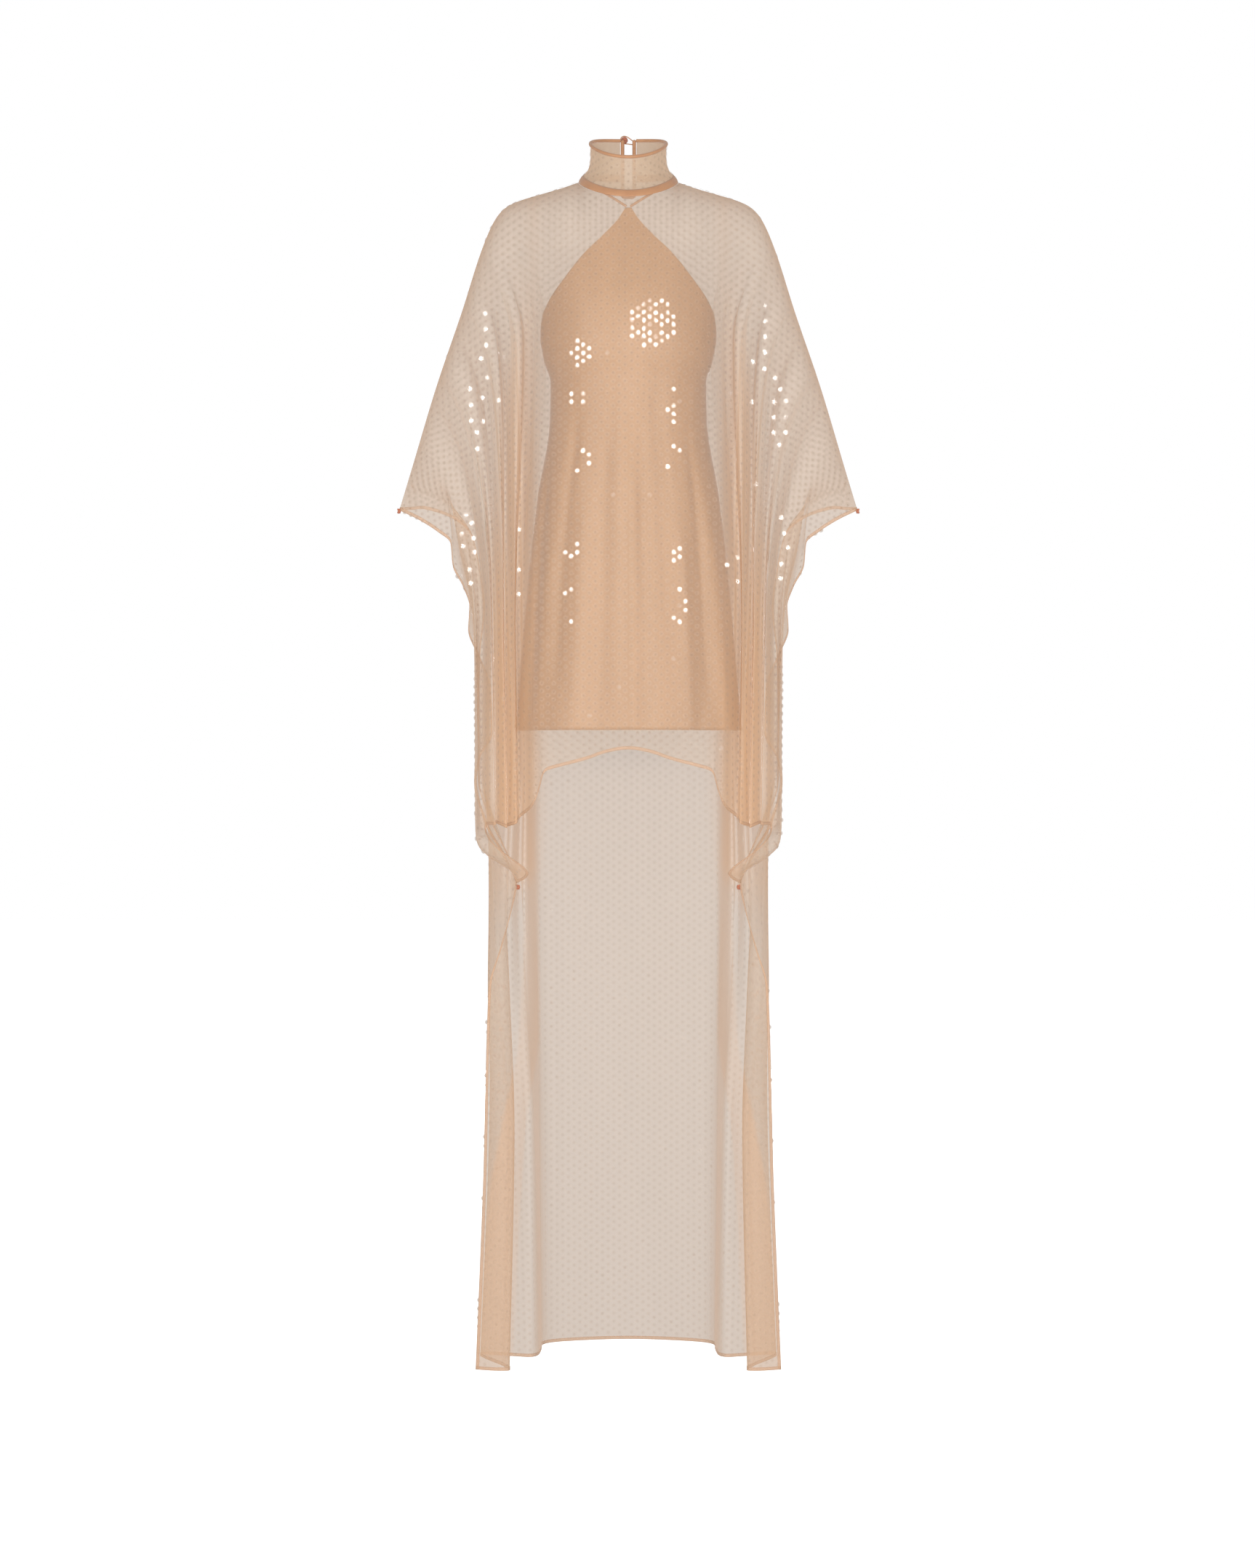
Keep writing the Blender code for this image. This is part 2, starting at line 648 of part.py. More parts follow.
# Halter straps from the neck seam to the top of the slip
STRAP_RADIUS = 0.0018
STRAP = table(
    "x y z",
    (0.0335, -0.0486, -0.0215),
    (0.0180, -0.0572, -0.0318),
    (0.0032, -0.0640, -0.0420),
)
for name, hand in (("strap_right", -1), ("strap_left", 1)):
    cord(name, zip(hand * STRAP["x"], STRAP["y"], STRAP["z"]), STRAP_RADIUS, BINDING)

# Button on the right end of the collar, and the thread loop on the left end that goes round it
BUTTON_RADIUS = 0.0050
BUTTON_CENTRE = np.array([-0.0055, 0.0588, 0.0655])
LOOP_THREAD = 0.0007
LOOP_RADIUS = 0.0054
LOOP_Y = 0.0553
LOOP_ENDS = ((0.0084, 0.0625), (0.0084, 0.0590))
LOOP_TURNS = np.radians(np.linspace(80, 280, 11))
ball("neck_button", BUTTON_CENTRE, (BUTTON_RADIUS,) * 3, THREAD)
loop_points = [(BUTTON_CENTRE[0] + LOOP_RADIUS * np.cos(turn), LOOP_Y, BUTTON_CENTRE[2] + LOOP_RADIUS * np.sin(turn))
               for turn in LOOP_TURNS]
loop_ends = [(x, LOOP_Y, z) for x, z in LOOP_ENDS]
cord("neck_loop", [loop_ends[0], *loop_points, loop_ends[1]], LOOP_THREAD, BINDING, 1)

# Thread tacks that hold front and back together at the wrists and at the lower ends of the sleeves
TACK_SIZE = (0.0032, 0.0026, 0.0036)
WRIST_TACK = np.array([0.3172, -0.0200, -0.4545])
SLEEVE_TACK = np.array([0.1500, -0.0550, -0.9685])
for name, side_of_body in (("right", np.array([-1, 1, 1])), ("left", np.array([1, 1, 1]))):
    ball("wrist_tack_" + name, WRIST_TACK * side_of_body, TACK_SIZE, THREAD)
    ball("sleeve_tack_" + name, SLEEVE_TACK * side_of_body, TACK_SIZE, THREAD)
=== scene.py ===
"""Looks of the sheer sequinned kaftan: a white studio, the halter slip, the two tulle panels with their
hems, the collar and its bindings, the small fastenings and the sequins, in the order they are made up."""

import bpy
import numpy as np
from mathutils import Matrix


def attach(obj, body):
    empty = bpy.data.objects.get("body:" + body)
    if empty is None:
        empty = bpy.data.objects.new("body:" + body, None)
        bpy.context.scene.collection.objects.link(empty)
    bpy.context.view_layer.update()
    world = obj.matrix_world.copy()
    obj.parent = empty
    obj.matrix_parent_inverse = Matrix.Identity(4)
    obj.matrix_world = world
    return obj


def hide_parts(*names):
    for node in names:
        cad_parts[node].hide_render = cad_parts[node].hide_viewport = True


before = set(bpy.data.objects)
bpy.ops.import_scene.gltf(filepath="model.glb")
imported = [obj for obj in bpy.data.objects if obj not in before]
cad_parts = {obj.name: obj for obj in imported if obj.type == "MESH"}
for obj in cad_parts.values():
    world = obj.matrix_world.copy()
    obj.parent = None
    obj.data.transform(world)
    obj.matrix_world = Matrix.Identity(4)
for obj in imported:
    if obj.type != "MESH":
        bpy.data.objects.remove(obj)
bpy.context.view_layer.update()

# Studio
# A white room with a pale floor a little under the train, two tall soft strips in front on either side,
# a broad soft fill before the garment and another behind it, and a camera level with the knees.
FLOOR_HEIGHT = -1.640
FLOOR_SIZE = 40.0
FLOOR_WHITE = (0.98, 0.98, 0.98)
FLOOR_GLOW = (0.48, 0.48, 0.48)  # what keeps the floor as white as the room behind it
CAMERA_PLACE = (-0.0012, -6.0, -0.828)
LENS = 100.19
SENSOR = 36
STRIP_SIZE = (0.07, 0.8)
STRIP_POWER = 24.0
STRIPS = ((-2.05, -2.45, -0.22), (2.05, -2.45, -0.22))
FILL_SIZE = (3.4, 2.6)
FILL_HEIGHT = -0.5
FILLS = ((-6.4, 190.0), (6.4, 185.0))  # place front to back and power
ROOM_LIGHT = 0.60  # the white room as the cloth feels it, against 1 as the camera sees it
PAINTED_SHADE_BEHIND_CLOTH = (0.703, 0.637, 0.588)  # painted shade: room and floor are painted this pale grey where the camera sees them through cloth
BLACK, WHITE = (0, 0, 0), (1, 1, 1)


def feed(tree, made, inputs):
    """Give a shader node's inputs, by name or number, a number, a colour or the socket that feeds them."""
    for name, value in inputs.items():
        if isinstance(value, bpy.types.NodeSocket):
            tree.links.new(value, made.inputs[name])
        elif made.inputs[name].type == "RGBA":
            made.inputs[name].default_value = (*value, 1)
        else:
            made.inputs[name].default_value = value


def finish_step(tree, kind, inputs=None, **settings):
    """A shader node in a material or group, with its settings and inputs."""
    made = tree.nodes.new("ShaderNode" + kind)
    for name, value in settings.items():
        setattr(made, name, value)
    feed(tree, made, inputs or {})
    return made


def maths(tree, operation, *values):
    """Socket with what an operation makes of numbers or sockets."""
    return finish_step(tree, "Math", dict(enumerate(values)), operation=operation).outputs["Value"]


def blend(tree, share, first, second, kind="RGBA"):
    """Socket between two colours, or two numbers where the kind is FLOAT."""
    inputs = {"Factor": share, "A": first, "B": second}
    return finish_step(tree, "Mix", inputs, data_type=kind).outputs["Result"]


def new_finish(name):
    """A material with its tree of nodes and its shader."""
    made = bpy.data.materials.new(name)
    made.use_nodes = True
    return made, made.node_tree, made.node_tree.nodes["Principled BSDF"]


def behind_cloth(tree, least=1):
    """Socket that is 1 where the camera sees a thing through that many layers of sheer cloth or more, and 0
    for every other ray."""
    light = finish_step(tree, "LightPath")
    layers = maths(tree, "GREATER_THAN", light.outputs["Transparent Depth"], least - 0.5)
    return maths(tree, "MULTIPLY", light.outputs["Is Camera Ray"], layers)


def soft_light(name, place, turn, size, power):
    """A wide lamp that the camera doesn't see."""
    bpy.ops.object.light_add(type="AREA", location=place, rotation=turn)
    lamp = bpy.context.object
    lamp.name = name
    lamp.data.shape = "RECTANGLE"
    lamp.data.size, lamp.data.size_y = size
    lamp.data.energy = power
    lamp.visible_camera = False


bpy.ops.object.select_all(action="DESELECT")
bpy.ops.mesh.primitive_plane_add(size=FLOOR_SIZE, location=(0, 0, FLOOR_HEIGHT))
floor = bpy.context.object
floor.name = "studio_floor"
floor_paint, tree, shader = new_finish("floor_paint")
behind = behind_cloth(tree)
# Painted shade: where the camera sees the floor through cloth, it is painted a flat pale grey instead of its
# lit white
feed(tree, shader, {
    "Base Color": blend(tree, behind, FLOOR_WHITE, BLACK),
    "Emission Color": blend(tree, behind, FLOOR_GLOW, PAINTED_SHADE_BEHIND_CLOTH),
    "Emission Strength": behind_cloth(tree, 0),
    "Roughness": 0.9,
    "Specular IOR Level": 0.0,
})
floor.data.materials.append(floor_paint)

room = bpy.data.worlds.new("white_room")
room.use_nodes = True
bpy.context.scene.world = room
tree = room.node_tree
seen = finish_step(tree, "LightPath").outputs["Is Camera Ray"]
# Painted shade: where the camera sees the room through cloth, it is painted the same pale grey
feed(tree, tree.nodes["Background"], {
    "Color": blend(tree, behind_cloth(tree), WHITE, PAINTED_SHADE_BEHIND_CLOTH),
    "Strength": blend(tree, seen, ROOM_LIGHT, 1.0, "FLOAT"),
})

for number, place in enumerate(STRIPS):
    turn = (np.pi / 2, 0, np.arctan2(place[0], -place[1]))
    soft_light("soft_strip_%d" % number, place, turn, STRIP_SIZE, STRIP_POWER)
for number, (place, power) in enumerate(FILLS):
    turn = (np.pi / 2 if place < 0 else -np.pi / 2, 0, 0)
    soft_light("soft_fill_%d" % number, (0, place, FILL_HEIGHT), turn, FILL_SIZE, power)

bpy.ops.object.camera_add(location=CAMERA_PLACE, rotation=(np.pi / 2, 0, 0))
camera = bpy.context.object
camera.name = "camera"
camera.data.lens = LENS
camera.data.sensor_width = SENSOR
camera.data.clip_end = 100
scene = bpy.context.scene
scene.camera = camera
scene.view_settings.view_transform = "Standard"
scene.cycles.transparent_max_bounces = 32  # layers of tulle and sequins that a ray may pass
scene.cycles.max_bounces = 8
scene.cycles.diffuse_bounces = 3
scene.cycles.glossy_bounces = 2


# Slip
# A short slip of nude satin, cut in a front that rises to a point and a straight back, seamed at the
# sides and narrowly hemmed. It hangs by its straps and flares softly below the hips.
def table(columns, *rows):
    """Rows of numbers under named columns."""
    return {name: np.array([row[i] for row in rows], float) for i, name in enumerate(columns.split())}


SLIP = table(
    "z edge wide front back",
    (-0.044, 0.004, 0.12, 0.064, 0.07), (-0.06, 0.014, 0.12, 0.069, 0.074),
    (-0.082, 0.034, 0.121, 0.077, 0.078), (-0.106, 0.059, 0.122, 0.085, 0.082),
    (-0.14, 0.087, 0.123, 0.094, 0.085), (-0.17, 0.109, 0.122, 0.1, 0.087),
    (-0.19, 0.118, 0.1215, 0.102, 0.088), (-0.216, 0.121, 0.121, 0.103, 0.088),
    (-0.247, 0.116, 0.116, 0.1, 0.086), (-0.278, 0.107, 0.107, 0.095, 0.083),
    (-0.33, 0.108, 0.108, 0.093, 0.083), (-0.43, 0.124, 0.124, 0.097, 0.09),
    (-0.56, 0.139, 0.139, 0.102, 0.097), (-0.68, 0.149, 0.149, 0.106, 0.101),
    (-0.755, 0.156, 0.156, 0.108, 0.103),
)
SLIP_BACK_TOP = -0.216
SLIP_FLARES = table(
    "angle depth width",
    (-68, 0.004, 16), (-38, -0.003, 14), (-14, 0.0028, 10), (11, -0.0026, 12), (34, 0.0036, 12),
    (62, -0.003, 15),
)
FLARE_LEVELS = (0.33, 0.75)  # where the flare starts and is full, down from the neck
# Soft upright folds of the hanging satin: angle round the body, from and to which height, width in
# degrees and depth, a trough where the depth is negative
SLIP_FOLDS = table(
    "angle top low width depth",
    (-58, -0.46, -0.76, 6, 0.00272), (-47, -0.38, -0.7, 4.5, -0.00306), (-33, -0.5, -0.76, 5, 0.0034),
    (-21, -0.28, -0.62, 5.5, -0.00272), (-9, -0.34, -0.76, 5, -0.00374), (-3, -0.42, -0.76, 3.5, 0.00306),
    (6, -0.3, -0.72, 4, 0.00204), (16, -0.36, -0.76, 5, -0.0034), (27, -0.46, -0.74, 4.5, 0.00272),
    (41, -0.34, -0.68, 5, -0.00306), (53, -0.5, -0.76, 5.5, 0.00306), (66, -0.4, -0.76, 5, -0.00204),
)
SLIP_FOLD_FADE = 0.05
BACK_HEM_RISE = 0.0035  # how much higher the back's hem hangs than the front's
BACK_RISE_LEVELS = (0.60, 0.74)
SATIN_WALL = 0.0008
SIDE_SEAM_ANGLE = 1.5  # the halves meet where the cloth reaches this far round
SEAM_GAP = 0.0003
SLIP_COLUMNS = 121
SLIP_ROWS = 190
SATIN_DARK = (0.400, 0.207, 0.094)
SATIN_LIGHT = (0.452, 0.240, 0.114)
# Painted shade: where the satin turns away from the camera its colour darkens towards this
SATIN_PAINTED_SHADE = (0.24, 0.085, 0.030)
SLUB_SCALE, SLUB_DETAIL = 26, 3
SLUB_LONG = (1.0, 0.18, 1.0)  # the slubs are long down the cloth
SLUB_MARKS = (0.3, 0.7)  # the slubs' noise where the satin is darkest and where it is lightest
WEAVE_SCALE, WEAVE_WOBBLE = 900, 1.5
WEAVE_RELIEF = (0.12, 0.0003)  # how strongly it shows and its depth
ROUNDING = 1e-6


def through(knots, values, at):
    """Smooth curve through the values that never swings past them."""
    step = np.diff(knots)
    slope = np.diff(values) / step
    lean = np.zeros_like(values)
    same = slope[1:] * slope[:-1] > 0
    lean[1:-1][same] = 2 * slope[1:][same] * slope[:-1][same] / (slope[1:] + slope[:-1])[same]
    lean[0] = slope[0]
    lean[-1] = slope[-1]
    i = np.clip(np.searchsorted(knots, at) - 1, 0, len(knots) - 2)
    t = np.clip((at - knots[i]) / step[i], 0, 1)
    start = (1 + 2 * t) * (1 - t) ** 2 * values[i] + t * (1 - t) ** 2 * step[i] * lean[i]
    end = t * t * (3 - 2 * t) * values[i + 1] + t * t * (t - 1) * step[i] * lean[i + 1]
    return start + end


def smooth_step(value, low, high):
    """From 0 up to low to 1 from high on, easing in and out between."""
    t = np.clip((value - low) / (high - low), 0, 1)
    return t * t * (3 - 2 * t)


def smooth_window(value, start, end, fade):
    """1 between start and end, fading to 0 outside them."""
    return smooth_step(value, start - fade, start + fade) * (1 - smooth_step(value, end - fade, end + fade))


def lengths_down(net):
    """Length of cloth from the top of each column down to each row."""
    step = np.linalg.norm(np.diff(net, axis=0), axis=2)
    return np.concatenate([np.zeros((1, net.shape[1])), np.cumsum(step, axis=0)])


def sewn_piece(name, points, faces, uv, *finishes):
    """A piece of the garment from its mesh, with a UV map in metres of cloth, corner by corner."""
    mesh = bpy.data.meshes.new(name)
    mesh.from_pydata(points, [], faces)
    mesh.uv_layers.new(name="cloth").data.foreach_set("uv", uv.astype(np.float32).reshape(-1))
    for finish in finishes:
        mesh.materials.append(finish)
    made = bpy.data.objects.new(name, mesh)
    bpy.context.scene.collection.objects.link(made)
    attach(made, "root")
    return made


def sheet_of(name, net, across, down, finish, outward=1, keep=None, gathered=None):
    """A sheet of cloth from a net of points, laid flat by its places across and down."""
    rows, columns = net.shape[:2]
    index = np.arange(rows * columns).reshape(rows, columns)
    a, b = index[:-1, :-1], index[1:, :-1]
    c, d = index[1:, 1:], index[:-1, 1:]
    quads = np.stack([a, b, c, d] if outward > 0 else [a, d, c, b], axis=-1).reshape(-1, 4)
    if keep is not None:
        quads = quads[keep.reshape(-1)]
    laid = np.stack(np.broadcast_arrays(across, down), axis=-1).reshape(-1, 2)
    made = sewn_piece(name, net.reshape(-1, 3).tolist(), quads.tolist(), laid[quads.reshape(-1)], finish)
    if gathered is not None:
        folds = made.data.attributes.new("gathered", "FLOAT", "POINT")
        folds.data.foreach_set("value", gathered.astype(np.float32).reshape(-1))
    made.data.shade_smooth()
    return made


def give_wall(piece, thickness):
    """Give a sheet its thickness, half to either side."""
    wall = piece.modifiers.new("wall", "SOLIDIFY")
    wall.thickness = thickness
    wall.offset = 0


def slip_net(side, top, columns, rows):
    """Front (side -1) or back (side 1) of the slip, rows down and columns across."""
    heights = SLIP["z"][SLIP["z"] <= top + ROUNDING]
    at = np.interp(np.linspace(0, 1, rows), np.linspace(0, 1, len(heights)), heights)
    if side > 0:
        at = at + BACK_HEM_RISE * smooth_step(-at, *BACK_RISE_LEVELS)
    share = np.linspace(-1, 1, columns)
    edge = through(-SLIP["z"], SLIP["edge"], -at)[:, None]
    wide = through(-SLIP["z"], SLIP["wide"], -at)[:, None]
    deep = through(-SLIP["z"], SLIP["front" if side < 0 else "back"], -at)[:, None]
    reach = np.arcsin(np.clip(edge / wide, 0, 1))
    seam = np.where(reach > SIDE_SEAM_ANGLE, SEAM_GAP / 2 / deep, 0)
    angle = share[None, :] * (reach - seam)
    flare = np.zeros_like(angle)
    for where, depth, width in zip(*SLIP_FLARES.values()):
        flare += depth * np.exp(-(((np.degrees(angle) - side * where) / width) ** 2))
    flare *= smooth_step(-at, *FLARE_LEVELS)[:, None]
    for where, start, end, width, depth in zip(*SLIP_FOLDS.values()):
        fold = depth * np.exp(-(((np.degrees(angle) - side * where) / width) ** 2))
        flare += fold * smooth_window(-at, -start, -end, SLIP_FOLD_FADE)[:, None]
    return np.stack([(wide + flare) * np.sin(angle), side * (deep + flare) * np.cos(angle),
                     at[:, None] + 0 * angle], axis=-1)


def cloth_uv(tree):
    """The piece's own UV map, in metres of cloth."""
    return finish_step(tree, "UVMap", uv_map="cloth").outputs["UV"]


def noise(tree, laid, scale, detail=2.0):
    return finish_step(tree, "TexNoise", {"Vector": laid, "Scale": scale, "Detail": detail}).outputs["Fac"]


def bands(tree, laid, scale, distortion=0.0, way="X"):
    """Straight soft bands over the cloth."""
    inputs = {"Vector": laid, "Scale": scale, "Distortion": distortion}
    return finish_step(tree, "TexWave", inputs, bands_direction=way).outputs["Fac"]


def turned_by(tree, laid, degrees=0, scale=(1, 1, 1)):
    """The cloth's UV turned and scaled."""
    inputs = {"Vector": laid, "Rotation": (0, 0, np.radians(degrees)), "Scale": scale}
    return finish_step(tree, "Mapping", inputs).outputs["Vector"]


def ramp(tree, share, *stops):
    """Colour along a ramp of stops, each a place and a colour."""
    made = finish_step(tree, "ValToRGB", {"Fac": share})
    elements = made.color_ramp.elements
    for element, (place, colour) in zip(elements, (stops[0], stops[-1])):
        element.position = place
        element.color = (*colour, 1)
    for place, colour in stops[1:-1]:
        elements.new(place).color = (*colour, 1)
    return made.outputs["Color"]


def relief(tree, height, strength, distance):
    inputs = {"Height": height, "Strength": strength, "Distance": distance}
    return finish_step(tree, "Bump", inputs).outputs["Normal"]


satin, tree, shader = new_finish("nude_satin")
slub = noise(tree, turned_by(tree, cloth_uv(tree), scale=SLUB_LONG), SLUB_SCALE, SLUB_DETAIL)
satin_shades = ramp(tree, slub, *zip(SLUB_MARKS, (SATIN_DARK, SATIN_LIGHT)))
weave = bands(tree, cloth_uv(tree), WEAVE_SCALE, WEAVE_WOBBLE, "DIAGONAL")
# Painted shade on the slip's sides: the colour darkens as the satin turns away from the camera
turned = finish_step(tree, "LayerWeight", {"Blend": 0.5}).outputs["Facing"]
feed(tree, shader, {
    "Base Color": blend(tree, turned, satin_shades, SATIN_PAINTED_SHADE),
    "Normal": relief(tree, weave, *WEAVE_RELIEF),
    "Roughness": 0.42,
    "Specular IOR Level": 0.5,
})

for name, side, top, node in (
    ("slip_front_satin", -1, SLIP["z"][0], "slip_front"),
    ("slip_back_satin", 1, SLIP_BACK_TOP, "slip_back"),
):
    net = slip_net(side, top, SLIP_COLUMNS, SLIP_ROWS)
    down = lengths_down(net)
    widths = np.linalg.norm(np.diff(net, axis=1), axis=2)
    across = np.concatenate([np.zeros((SLIP_ROWS, 1)), np.cumsum(widths, axis=1)], axis=1)
    across -= across[:, -1:] / 2
    cut_area = float(np.sum(widths.sum(axis=1)[1:] * np.diff(down[:, SLIP_COLUMNS // 2])))
    flat = (float(widths.sum(axis=1).max()), float(down[-1, SLIP_COLUMNS // 2]))
    piece = sheet_of(name, net, across, down, satin, outward=-side)
    give_wall(piece, SATIN_WALL)
    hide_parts(node)

# Tulle panels
# Front and back are each one wide piece of soft tulle, cut with its half sleeves, joined along the arm
# line. The front ends above the knee and the back runs to the floor; what the arms hold up falls in folds.
CLOTH = 0.001
GAP = 0.0003
HALF_CUT = 0.620  # flat distance from the middle of a panel to its side edge
NECK_HALF_WIDTH = 0.0655
NECK_HALF_DEPTH = 0.0600
NECK_SIDE_HEIGHT = 0.0035
NECK_TILT = 0.0178
NECK_DIP = 0.0098
NECK_SPREAD = 1.03
BAND_WIDTH = 0.0090
SLIT_HALF_WIDTH = 0.0055
SLIT_BOTTOM = -0.012
SLIT_BINDING = 0.0026
SLIT_CLOTH = SLIT_HALF_WIDTH + 2 * SLIT_BINDING + 2 * GAP
ARM_REACH = 0.060
ARM_ROUND = 0.055
ARM_SHARPER = 0.5  # how much sharper the turn over the arm is than over the neck, and between which flats
ARM_SHARPENS = (0.03, 0.09)
EDGE_PULL_TOP = 0.47
EDGE_PULL_LOW = 0.575
EDGE_PULL_DROP = 0.12
LAPPED = (0.05, 0.066)  # flats between which front and back move apart by their thickness

# The shoulder and arm line from the neck to the wrist, by flat distance from the panel's middle
ARM_LINE = table(
    "flat x y z",
    (0.0655, 0.0695, 0, -0.0013), (0.09, 0.09, 0, -0.0085), (0.127, 0.124, 0, -0.0185),
    (0.155, 0.15, 0, -0.0265), (0.1745, 0.1675, 0, -0.035), (0.194, 0.181, -0.001, -0.049),
    (0.234, 0.198, -0.003, -0.085), (0.335, 0.229, -0.008, -0.181), (0.445, 0.264, -0.013, -0.285),
    (0.5625, 0.2975, -0.018, -0.398), (0.62, 0.314, -0.02, -0.453),
)

# Plan of the front panel at these heights and at its hem: each row is one fold, from middle to side edge
FRONT_HEIGHTS = (-0.10, -0.22, -0.62)
FRONT_YOKE = table(
    "flat x y",
    (0, 0, -0.094), (0.06, 0.06, -0.09), (0.12, 0.12, -0.072), (0.17, 0.162, -0.048),
    (0.235, 0.185, -0.05), (0.335, 0.198, -0.048), (0.62, 0.25, -0.04),
)
FRONT_CHEST = table(
    "flat x y",
    (0, 0, -0.124), (0.06, 0.059, -0.12), (0.105, 0.098, -0.106), (0.14, 0.114, -0.084),
    (0.185, 0.139, -0.054), (0.225, 0.148, -0.082), (0.27, 0.168, -0.044), (0.31, 0.176, -0.078),
    (0.35, 0.193, -0.038), (0.4, 0.203, -0.074), (0.45, 0.222, -0.03), (0.5, 0.233, -0.05),
    (0.56, 0.255, -0.022), (0.62, 0.285, -0.03),
)
FRONT_HIP = table(
    "flat x y",
    (0, 0, -0.132), (0.06, 0.06, -0.131), (0.112, 0.111, -0.13), (0.145, 0.134, -0.136),
    (0.19, 0.156, -0.084), (0.235, 0.151, -0.142), (0.285, 0.171, -0.08), (0.335, 0.167, -0.135),
    (0.385, 0.186, -0.07), (0.435, 0.183, -0.122), (0.49, 0.199, -0.058), (0.545, 0.208, -0.089),
    (0.59, 0.209, -0.05), (0.62, 0.21, -0.034),
)
FRONT_HEM = table(
    "flat x y z late",
    (0, 0, -0.142, -0.78, 1), (0.035, 0.035, -0.142, -0.787, 1), (0.053, 0.053, -0.14, -0.795, 1),
    (0.097, 0.097, -0.137, -0.806, 1), (0.113, 0.115, -0.133, -0.811, 1),
    (0.128, 0.118, -0.141, -0.83, 1), (0.145, 0.128, -0.15, -0.86, 1), (0.19, 0.149, -0.1, -0.874, 1),
    (0.235, 0.149, -0.146, -0.882, 1), (0.285, 0.167, -0.088, -0.886, 1),
    (0.335, 0.161, -0.142, -0.888, 1), (0.385, 0.182, -0.08, -0.88, 1), (0.435, 0.177, -0.126, -0.884, 1),
    (0.49, 0.197, -0.058, -0.8825, 60), (0.532, 0.1855, -0.0955, -0.91, 60),
    (0.565, 0.1325, -0.11, -0.945, 24), (0.595, 0.138, -0.088, -0.956, 12),
    (0.62, 0.152, -0.06, -0.963, 5),
)

# Side edge of the front panel, from the wrist tack down to the lower tack
FRONT_EDGE = table(
    "drop x y z",
    (0, 0.314, -0.02, -0.453), (0.016, 0.286, -0.033, -0.467), (0.032, 0.261, -0.038, -0.483),
    (0.052, 0.243, -0.034, -0.499), (0.08, 0.24, -0.026, -0.53), (0.108, 0.226, -0.018, -0.558),
    (0.135, 0.2175, -0.018, -0.585), (0.165, 0.219, -0.022, -0.617), (0.195, 0.208, -0.018, -0.648),
    (0.24, 0.189, -0.012, -0.698), (0.302, 0.187, -0.012, -0.758), (0.34, 0.204, -0.018, -0.794),
    (0.372, 0.208, -0.022, -0.824), (0.432, 0.192, -0.03, -0.884), (0.47, 0.17, -0.046, -0.922),
    (0.51, 0.152, -0.06, -0.963),
)

# Plan of the back panel at these heights, the last one its hem
BACK_HEIGHTS = (-0.10, -0.22, -0.62, -0.79, -0.96, -1.105, -1.30, -1.618)
BACK_YOKE = table(
    "flat x y",
    (0, 0, 0.086), (0.06, 0.06, 0.084), (0.12, 0.12, 0.074), (0.17, 0.162, 0.056), (0.235, 0.185, 0.048),
    (0.335, 0.198, 0.042), (0.62, 0.25, 0.03),
)
BACK_CHEST = table(
    "flat x y",
    (0, 0, 0.108), (0.06, 0.058, 0.107), (0.115, 0.108, 0.1), (0.16, 0.136, 0.082), (0.2, 0.152, 0.048),
    (0.24, 0.162, 0.082), (0.285, 0.18, 0.04), (0.33, 0.189, 0.074), (0.38, 0.206, 0.032),
    (0.43, 0.217, 0.06), (0.48, 0.236, 0.024), (0.54, 0.246, 0.038), (0.62, 0.262, 0.016),
)
BACK_HIP = table(
    "flat x y",
    (0, 0, 0.124), (0.06, 0.06, 0.123), (0.122, 0.12, 0.122), (0.152, 0.132, 0.108),
    (0.196, 0.147, 0.048), (0.24, 0.151, 0.108), (0.285, 0.166, 0.04), (0.335, 0.169, 0.1),
    (0.385, 0.184, 0.034), (0.435, 0.188, 0.088), (0.482, 0.199, 0.028), (0.522, 0.209, 0.044),
    (0.575, 0.212, 0.016), (0.62, 0.206, 0.004),
)
BACK_LOW_HIP = table(
    "flat x y",
    (0, 0, 0.131), (0.06, 0.06, 0.13), (0.124, 0.121, 0.128), (0.152, 0.132, 0.11), (0.198, 0.145, 0.05),
    (0.24, 0.147, 0.106), (0.29, 0.16, 0.038), (0.34, 0.165, 0.094), (0.388, 0.183, 0.04),
    (0.43, 0.192, 0.058), (0.475, 0.199, 0.04), (0.53, 0.205, 0.022), (0.58, 0.2065, 0.008),
    (0.62, 0.208, -0.004),
)
BACK_TACK = table(
    "flat x y",
    (0, 0, 0.14), (0.06, 0.06, 0.138), (0.125, 0.122, 0.134), (0.152, 0.132, 0.112), (0.2, 0.144, 0.068),
    (0.24, 0.153, 0.092), (0.3, 0.163, 0.046), (0.345, 0.172, 0.07), (0.4, 0.186, 0.044),
    (0.44, 0.195, 0.012), (0.5, 0.184, -0.018), (0.56, 0.168, -0.0385), (0.62, 0.152, -0.05),
)
BACK_THIGH = table(
    "flat x y",
    (0, 0, 0.152), (0.06, 0.06, 0.149), (0.126, 0.124, 0.14), (0.17, 0.131, 0.098), (0.225, 0.141, 0.064),
    (0.265, 0.151, 0.06), (0.315, 0.163, 0.042), (0.36, 0.178, 0.053), (0.41, 0.193, 0.036),
    (0.445, 0.195, 0.008), (0.53, 0.158, -0.048), (0.57, 0.168, -0.0655), (0.62, 0.19, -0.064),
)
BACK_KNEE = table(
    "flat x y",
    (0, 0, 0.174), (0.06, 0.06, 0.167), (0.13, 0.123, 0.148), (0.195, 0.128, 0.086),
    (0.262, 0.132, 0.022), (0.31, 0.156, 0.046), (0.37, 0.19, 0.05), (0.41, 0.194, 0.012),
    (0.52, 0.148, -0.08), (0.56, 0.166, -0.1), (0.62, 0.195, -0.09),
)
